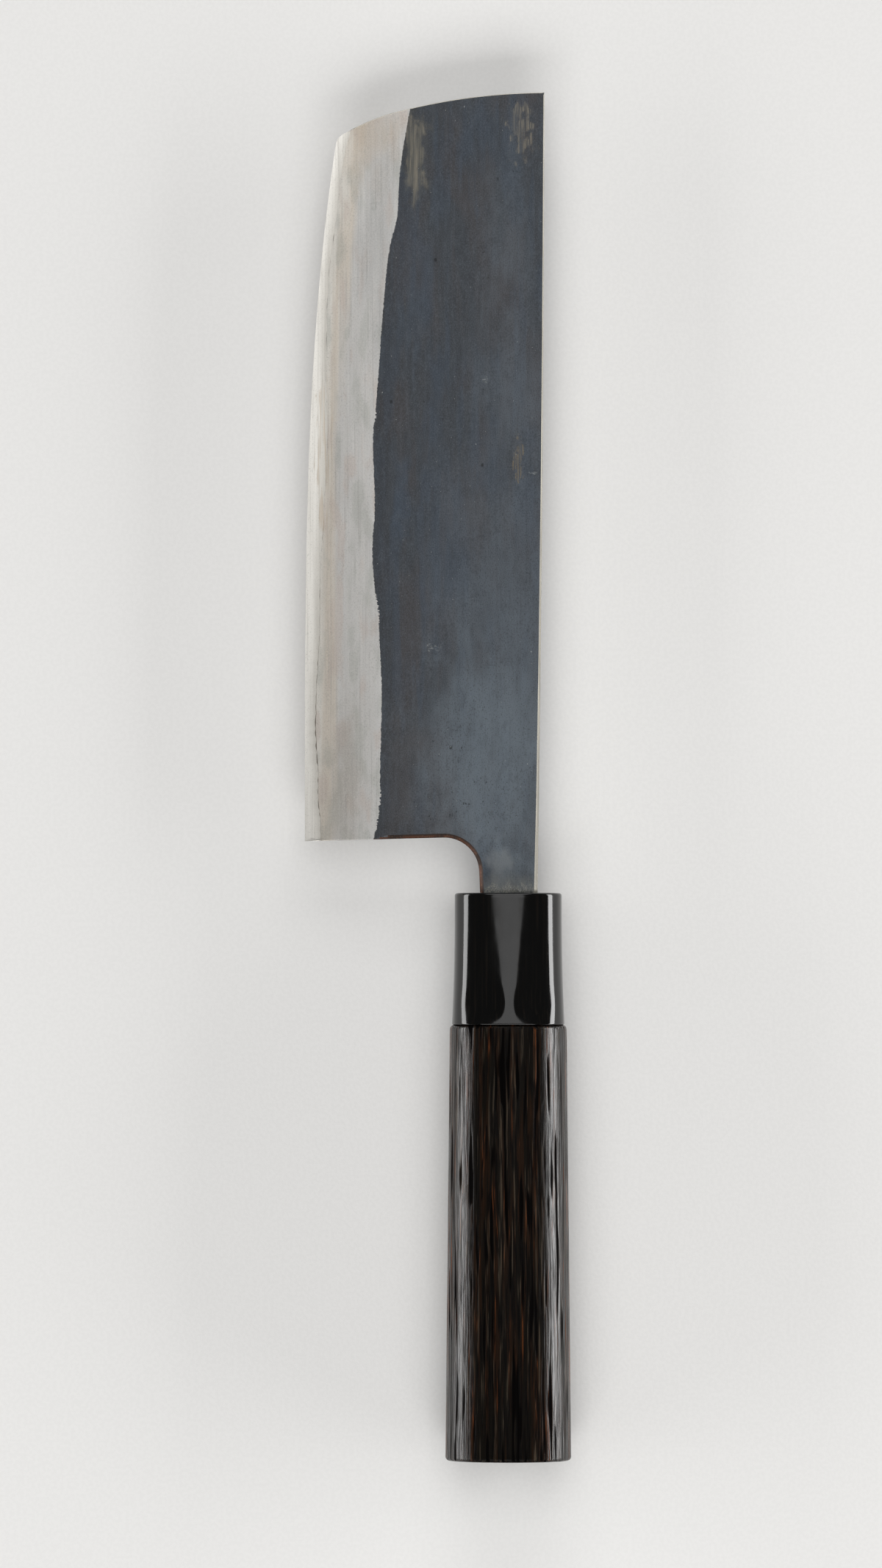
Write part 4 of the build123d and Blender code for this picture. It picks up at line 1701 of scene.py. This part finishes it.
@dataclass
class Ferrule(Turning):
    """Black collar with a slot for the neck and a hidden bore for the dowel. Sizes are in mm."""

    segments: int = 256
    flare_length: float = 25.0
    flare_power: float = 2.1
    front_width: float = 23.6
    front_thickness: float = 18.0
    rim_radius: float = 0.6
    back_round: float = 0.35
    bore_radius: float = 6.6
    slot_half_height: float = 1.87
    slot_low: float = -6.55
    slot_high: float = 6.33
    slot_depth: float = 4.2
    slot_ease: float = 0.12
    slot_ease_depth: float = 0.25
    fullness: float = 2.35
    crowns: tuple[tuple[float, float], ...] = (
        (-29.0, 0.2), (-27.2, 0.52), (-25.1, 0.88), (-20.0, 0.56), (-15.0, 0.44), (-6.0, 0.31), (0.0, 0.22),
    )
    crown_y: float = -0.3
    crown_reach: float = 3.0
    flattened_reach: float = 3.4
    front_ring_shares: tuple[float, ...] = (0.15, 0.5, 0.85, 1.0)
    ring_step: float = 0.5
    crease_degrees: float = 40.0

    def half_sizes(self, x: float) -> tuple[float, float]:
        """Half width and half thickness of the collar, flaring gently towards the handle.

        Args:
            x: Place along the axis, in mm.

        Returns:
            Half the width and half the thickness there.
        """
        low, high = node_box("ferrule")
        share = max(0.0, (low.x + self.flare_length - x) / self.flare_length) ** self.flare_power
        back_width, back_thickness = high.y - low.y, high.z - low.z
        width = self.front_width + (back_width - self.front_width) * share
        thickness = self.front_thickness + (back_thickness - self.front_thickness) * share
        return width / 2, thickness / 2

    def build(self) -> bpy.types.Object:
        """Makes the collar.

        Returns:
            The piece.
        """
        back_x = node_box("ferrule")[0].x
        slot = self.box(-self.slot_depth, self.slot_low, self.slot_high, self.slot_half_height)
        reach = np.hypot(slot[:, 1], slot[:, 2])
        slot[:, 1:] *= np.minimum(1, self.bore_radius / reach)[:, None]
        mouth = (self.slot_low, self.slot_high, self.slot_half_height)
        bore = [self.oval(x, self.bore_radius, self.bore_radius) for x in (back_x, -self.slot_depth)]
        inner = self.box(0.0, *self.eased(mouth, self.slot_ease))
        outer = self.crowned(0.0, self.rim_radius)
        rings = [*bore, slot, self.box(-self.slot_ease_depth, *mouth), inner]
        rings += [inner + (outer - inner) * share for share in self.front_ring_shares]
        rings += [self.crowned(-drop, inset) for drop, inset in self.rounded(self.rim_radius, 15, 6)]
        sides = np.arange(-self.rim_radius - self.ring_step, back_x + self.back_round, -self.ring_step)
        rings += [self.crowned(x) for x in sides]
        rings += [self.crowned(back_x + rise, inset) for inset, rise in self.rounded(self.back_round, 0, 5)]
        points, faces = self.join(rings)
        skin, horn = Skin(points, faces, [0] * len(faces), {}), PolishedHorn().make()
        return skin.piece("ferrule_collar", "ferrule", "ferrule", [horn], self.crease_degrees)

    def crowned(self, x: float, inset: float = 0.0) -> np.ndarray:
        """Draws a ring of the hand-shaped outside, fuller than an oval.

        Its top and bottom are flattest at the front and draw to a soft crown before the handle.

        Args:
            x: Place along the axis, in mm.
            inset: How far inside the outside it lies, where a rim is rounded, in mm.

        Returns:
            Its points.
        """
        a = self.angles()
        wide, thick = (half - inset for half in self.half_sizes(x))
        reach = (abs(np.cos(a)) ** self.fullness + abs(np.sin(a)) ** self.fullness) ** (1 / self.fullness)
        y, z = wide * np.cos(a) / reach, thick * np.sin(a) / reach
        crown = along_curve(np.array([x]), self.crowns)[0]
        across = (y - self.crown_y) / self.crown_reach
        sunk = crown * (1 - np.exp(-(across**2))) * np.exp(-((across / self.flattened_reach) ** 4))
        return np.column_stack([np.full_like(a, x), y, z - np.sign(z) * sunk])

    @staticmethod
    def eased(mouth: tuple[float, float, float], amount: float) -> tuple[float, float, float]:
        """Widens the slot's mouth all round by an amount in mm."""
        return mouth[0] - amount, mouth[1] + amount, mouth[2] + amount


@dataclass
class Handle(Turning):
    """Oval wooden handle with burnt-out open grain. Sizes are in mm."""

    segments: int = 344
    front_width: float = 25.7
    front_thickness: float = 19.6
    shoulder_radius: float = 1.0
    butt_radius: float = 0.9
    bore_radius: float = 6.6
    bore_end_x: float = -100.5
    ring_step: float = 0.7
    front_ring_shares: tuple[float, ...] = (0.5, 1.0)
    butt_rings: int = 24
    butt_middle_share: float = 0.04
    crease_degrees: float = 60.0

    # Growth rings of the wood, and the grain that the fire and the brush opened
    pith_y: float = 9.0
    pith_z: float = -46.0
    growth_ring: float = 1.9
    sway: float = 0.8
    sway_size: tuple[float, float] = (120.0, 14.0)
    early_wood_at: float = 0.3
    early_wood_reach: float = 0.36
    lens_size: tuple[float, float] = (17.0, 0.8)
    fibre_size: tuple[float, float] = (9.0, 0.42)
    early_wood_loss: float = 0.3
    lens_loss: float = 1.8
    fibre_loss: float = 0.6
    untouched: float = 0.3
    rubbed_away: float = 0.36
    rubbed_from: float = 8.0
    rubbed_over: float = 2.5
    groove_depth: float = 0.13
    butt_groove_share: float = 0.5
    butt_rim_share: float = 0.6

    def half_sizes(self, x: float) -> tuple[float, float]:
        """Half width and half thickness, growing evenly towards the butt.

        Args:
            x: Place along the axis, in mm.

        Returns:
            Half the width and half the thickness there.
        """
        low, high = node_box("handle")
        share = (high.x - x) / (high.x - low.x)
        width = self.front_width + (high.y - low.y - self.front_width) * share
        thickness = self.front_thickness + (high.z - low.z - self.front_thickness) * share
        return width / 2, thickness / 2

    def grain(self, x: float, y: float, z: float) -> float:
        """Tells how far the fire and the brush ate into the wood.

        Args:
            x: Place along the axis, in mm.
            y: Place across the knife.
            z: Place through the knife.

        Returns:
            0 on a hard ridge to 1 in the deepest groove.
        """
        sizes = (self.sway_size, self.lens_size, self.fibre_size)
        sway, lens, fibre = (noise.noise(Vector((x / along, y / wide, z / wide))) for along, wide in sizes)
        from_pith = math.hypot(y - self.pith_y, z - self.pith_z) + sway * self.sway
        phase = (from_pith / self.growth_ring) % 1.0
        early = max(1.0 - abs(phase - self.early_wood_at) / self.early_wood_reach, 0.0)
        rubbed = min(max((abs(y) - self.rubbed_from) / self.rubbed_over, 0.0), 1.0)
        eaten = self.early_wood_loss * early + self.lens_loss * lens + self.fibre_loss * fibre
        return min(max(eaten - self.untouched - self.rubbed_away * rubbed, 0.0), 1.0)

    def build(self) -> bpy.types.Object:
        """Makes the handle.

        Returns:
            The piece.
        """
        low, high = node_box("handle")
        rings = [self.oval(x, self.bore_radius, self.bore_radius) for x in (self.bore_end_x, high.x)]
        wide, thick = self.half_sizes(high.x)
        inner = rings[-1]
        outer = self.oval(high.x, wide - self.shoulder_radius, thick - self.shoulder_radius)
        rings += [inner + (outer - inner) * share for share in self.front_ring_shares]
        first_side = len(rings) + 1
        for drop, inset in self.rounded(self.shoulder_radius, 18, 5):
            rings.append(self.oval(high.x - drop, wide - inset, thick - inset))
        front, back = high.x - self.shoulder_radius, low.x + self.butt_radius
        for x in np.linspace(front, back, round((front - back) / self.ring_step))[1:]:
            rings.append(self.oval(x, *self.half_sizes(x)))
        wide, thick = self.half_sizes(low.x)
        for inset, rise in self.rounded(self.butt_radius, 18, 5):
            rings.append(self.oval(low.x + rise, wide - inset, thick - inset))
        last_side = len(rings)
        rim = rings[-1]
        for share in np.linspace(1 - self.butt_middle_share, self.butt_middle_share, self.butt_rings):
            rings.append(rim * np.array([1.0, share, share]))
        points, faces = self.join(rings)
        faces = faces[: -self.segments]
        faces.append(tuple(range(len(points) - self.segments, len(points))))
        faces.append(tuple(reversed(range(self.segments))))
        return self.carve(points, faces, first_side, last_side, low.x)

    def carve(
        self, points: np.ndarray, faces: list, first_side: int, last_side: int, butt_x: float
    ) -> bpy.types.Object:
        """Sinks the burnt grain into the skin and makes the piece.

        Args:
            points: Points of the smooth skin.
            faces: Its faces.
            first_side: First ring of the outside.
            last_side: First ring of the butt's face.
            butt_x: Place of the butt.

        Returns:
            The piece.
        """
        first, last = first_side * self.segments, last_side * self.segments
        side, butt = slice(first, last), slice(last, None)
        groove = np.zeros(len(points))
        end_grain = np.zeros(len(points))
        groove[first:] = [self.grain(*point) for point in points[first:]]
        wide, thick = self.half_sizes(butt_x)
        outward = points * np.array([0.0, 1 / wide**2, 1 / thick**2])
        outward /= np.maximum(np.linalg.norm(outward, axis=1), 1e-9)[:, None]
        points[side] -= outward[side] * (groove[side] * self.groove_depth)[:, None]
        points[butt, 0] += groove[butt] * self.groove_depth * self.butt_groove_share
        end_grain[butt] = 1.0
        end_grain[last - self.segments : last] = self.butt_rim_share
        half_widths = np.array([self.half_sizes(x)[0] for x in points[:, 0]])
        measures = {"groove": groove, "end_grain": end_grain, "sideways": points[:, 1] / half_widths}
        skin, wood = Skin(points, faces, [0] * len(faces), measures), BurntWood().make()
        return skin.piece("handle_shell", "handle", "handle_wood", [wood], self.crease_degrees)


@dataclass(frozen=True)
class Softbox:
    """A studio light with an even front.

    Args:
        name: What it does.
        centre: Its middle, in metres from the ferrule's mouth.
        aim: Direction that it shines in.
        size: Width and height of its front, in metres. The height runs along the knife where it can.
        radiance: How bright its front looks, where 1 is white.
    """

    name: str
    centre: tuple[float, float, float]
    aim: tuple[float, float, float]
    size: tuple[float, float]
    radiance: float

    def place(self) -> bpy.types.Object:
        """Makes the light.

        Returns:
            The light's object.
        """
        lamp = bpy.data.lights.new(self.name, "AREA")
        lamp.shape = "RECTANGLE"
        lamp.size, lamp.size_y = self.size
        lamp.energy = self.radiance * math.pi * self.size[0] * self.size[1]
        placed = bpy.data.objects.new(self.name, lamp)
        back = -Vector(self.aim).normalized()
        across = Vector((0, 1, 0)) if abs(back.y) < 0.9 else Vector((1, 0, 0))
        placed.matrix_world = turned_to(across, back, ORIGIN + Vector(self.centre))
        placed.visible_camera = False
        bpy.context.scene.collection.objects.link(placed)
        return placed


def turned_to(right: Vector, back: Vector, place: Vector) -> Matrix:
    """Builds the matrix of a camera or a light.

    Args:
        right: Roughly its right.
        back: Away from where it looks, of length 1.
        place: Where it stands.

    Returns:
        The matrix.
    """
    up = back.cross(right).normalized()
    turned = Matrix((up.cross(back), up, back)).transposed().to_4x4()
    return Matrix.Translation(place) @ turned


@dataclass
class Studio:
    """Table, lights and camera round the knife. Sizes are in metres."""

    floor_side: float = 3.2
    backdrop: str = "#E2E1DF"
    room: str = "#FFFEFC"
    camera_distance: float = 2.1
    frame_height: float = 0.3453
    sensor: float = 36.0
    world_level: float = 0.06
    overhead_height: float = 2.7
    strip_height: float = 0.6
    # Place that the camera looks at, in mm from the ferrule's mouth, and where it stands from there
    look_at: tuple[float, float] = (24.0, 14.8)
    camera_from: tuple[float, float, float] = (-0.018, -0.012, 1.0)

    def build(self) -> None:
        """Lays the floor, sets the lights and places the camera."""
        self.lay_floor()
        self.light_world()
        self.set_lights()
        self.place_camera()
        bpy.context.scene.view_settings.view_transform = "Standard"

    def lay_floor(self) -> None:
        """Makes the pale table top under the knife."""
        half = self.floor_side / 2
        mesh = bpy.data.meshes.new("table_top")
        corners = [(-half, -half, 0.0), (half, -half, 0.0), (half, half, 0.0), (-half, half, 0.0)]
        mesh.from_pydata(corners, [], [(0, 1, 2, 3)])
        mesh.materials.append(MattBoard().make())
        floor = bpy.data.objects.new("table_top", mesh)
        bpy.context.scene.collection.objects.link(floor)

    def light_world(self) -> None:
        """Gives the room an even, neutral light, and shows the camera a pale backdrop."""
        world = bpy.data.worlds.new("studio_room")
        world.use_nodes = True
        tree = world.node_tree
        tree.nodes.clear()
        glow = add_node(tree, "ShaderNodeBackground", {"Color": self.room, "Strength": self.world_level})
        backdrop = add_node(tree, "ShaderNodeBackground", {"Color": self.backdrop, "Strength": 1.0})
        seen = add_node(tree, "ShaderNodeLightPath").outputs["Is Camera Ray"]
        mixed = add_node(tree, "ShaderNodeMixShader", {0: seen, 1: glow, 2: backdrop})
        add_node(tree, "ShaderNodeOutputWorld", {"Surface": mixed})
        bpy.context.scene.world = world

    def set_lights(self) -> None:
        """Sets the lights.

        One hangs over the blade and ends over the handle's front, so that the handle stays dark. A
        low strip on each side draws the bright lines of ferrule and handle. Two more, past the nose
        and past the butt, light the table and show in none of the knife's long faces.
        """
        top, strip_height = self.overhead_height, self.strip_height
        boxes = [
            Softbox("over_blade", (1.07, -0.04, top), (0, 0, -1), (2.2, 2.26), 1.38),
            Softbox("past_butt", (-1.9, 0.0, 1.7), (1.9, 0, -1.7), (2.8, 1.3), 3.6),
            Softbox("past_nose", (2.6, 0.0, 1.5), (-2.6, 0, -1.5), (2.4, 0.9), 3.0),
            Softbox("left_strip", (-0.06, 1.9, strip_height / 2), (0, -1, 0), (2.6, strip_height), 6.6),
            Softbox("right_strip", (-0.06, -1.9, strip_height / 2), (0, 1, 0), (2.6, strip_height), 9.6),
        ]
        for box in boxes:
            box.place()

    def place_camera(self) -> None:
        """Puts the camera where the photograph was taken from."""
        lens = bpy.data.cameras.new("camera")
        lens.sensor_width = self.sensor
        lens.lens = self.sensor * self.camera_distance / self.frame_height
        camera = bpy.data.objects.new("camera", lens)
        target = ORIGIN + Vector((*self.look_at, 0.0)) * METRES
        back = Vector(self.camera_from).normalized()
        right = Vector((1, 0, 0)).cross(back).normalized()
        camera.matrix_world = turned_to(right, back, target + back * self.camera_distance)
        bpy.context.scene.collection.objects.link(camera)
        bpy.context.scene.camera = camera


def main() -> None:
    """Builds the knife piece by piece, and the studio round it."""
    logging.basicConfig(level=logging.INFO, format="%(message)s")
    pieces = [*Blade().build(), Ferrule().build(), Handle().build()]
    for piece in pieces:
        log.info("%s has %d faces", piece.name, len(piece.data.polygons))
    for node, finish in (("dowel", PaleDowelWood()), ("tang_adhesive", TangResin())):
        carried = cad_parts[node]
        carried.data.materials.clear()
        carried.data.materials.append(finish.make())
        log.info("%s keeps its packed shape and gets %s", node, finish.name)
    Studio().build()
    log.info("the table top, five lights and the camera are in place")


if __name__ == "__main__":
    main()
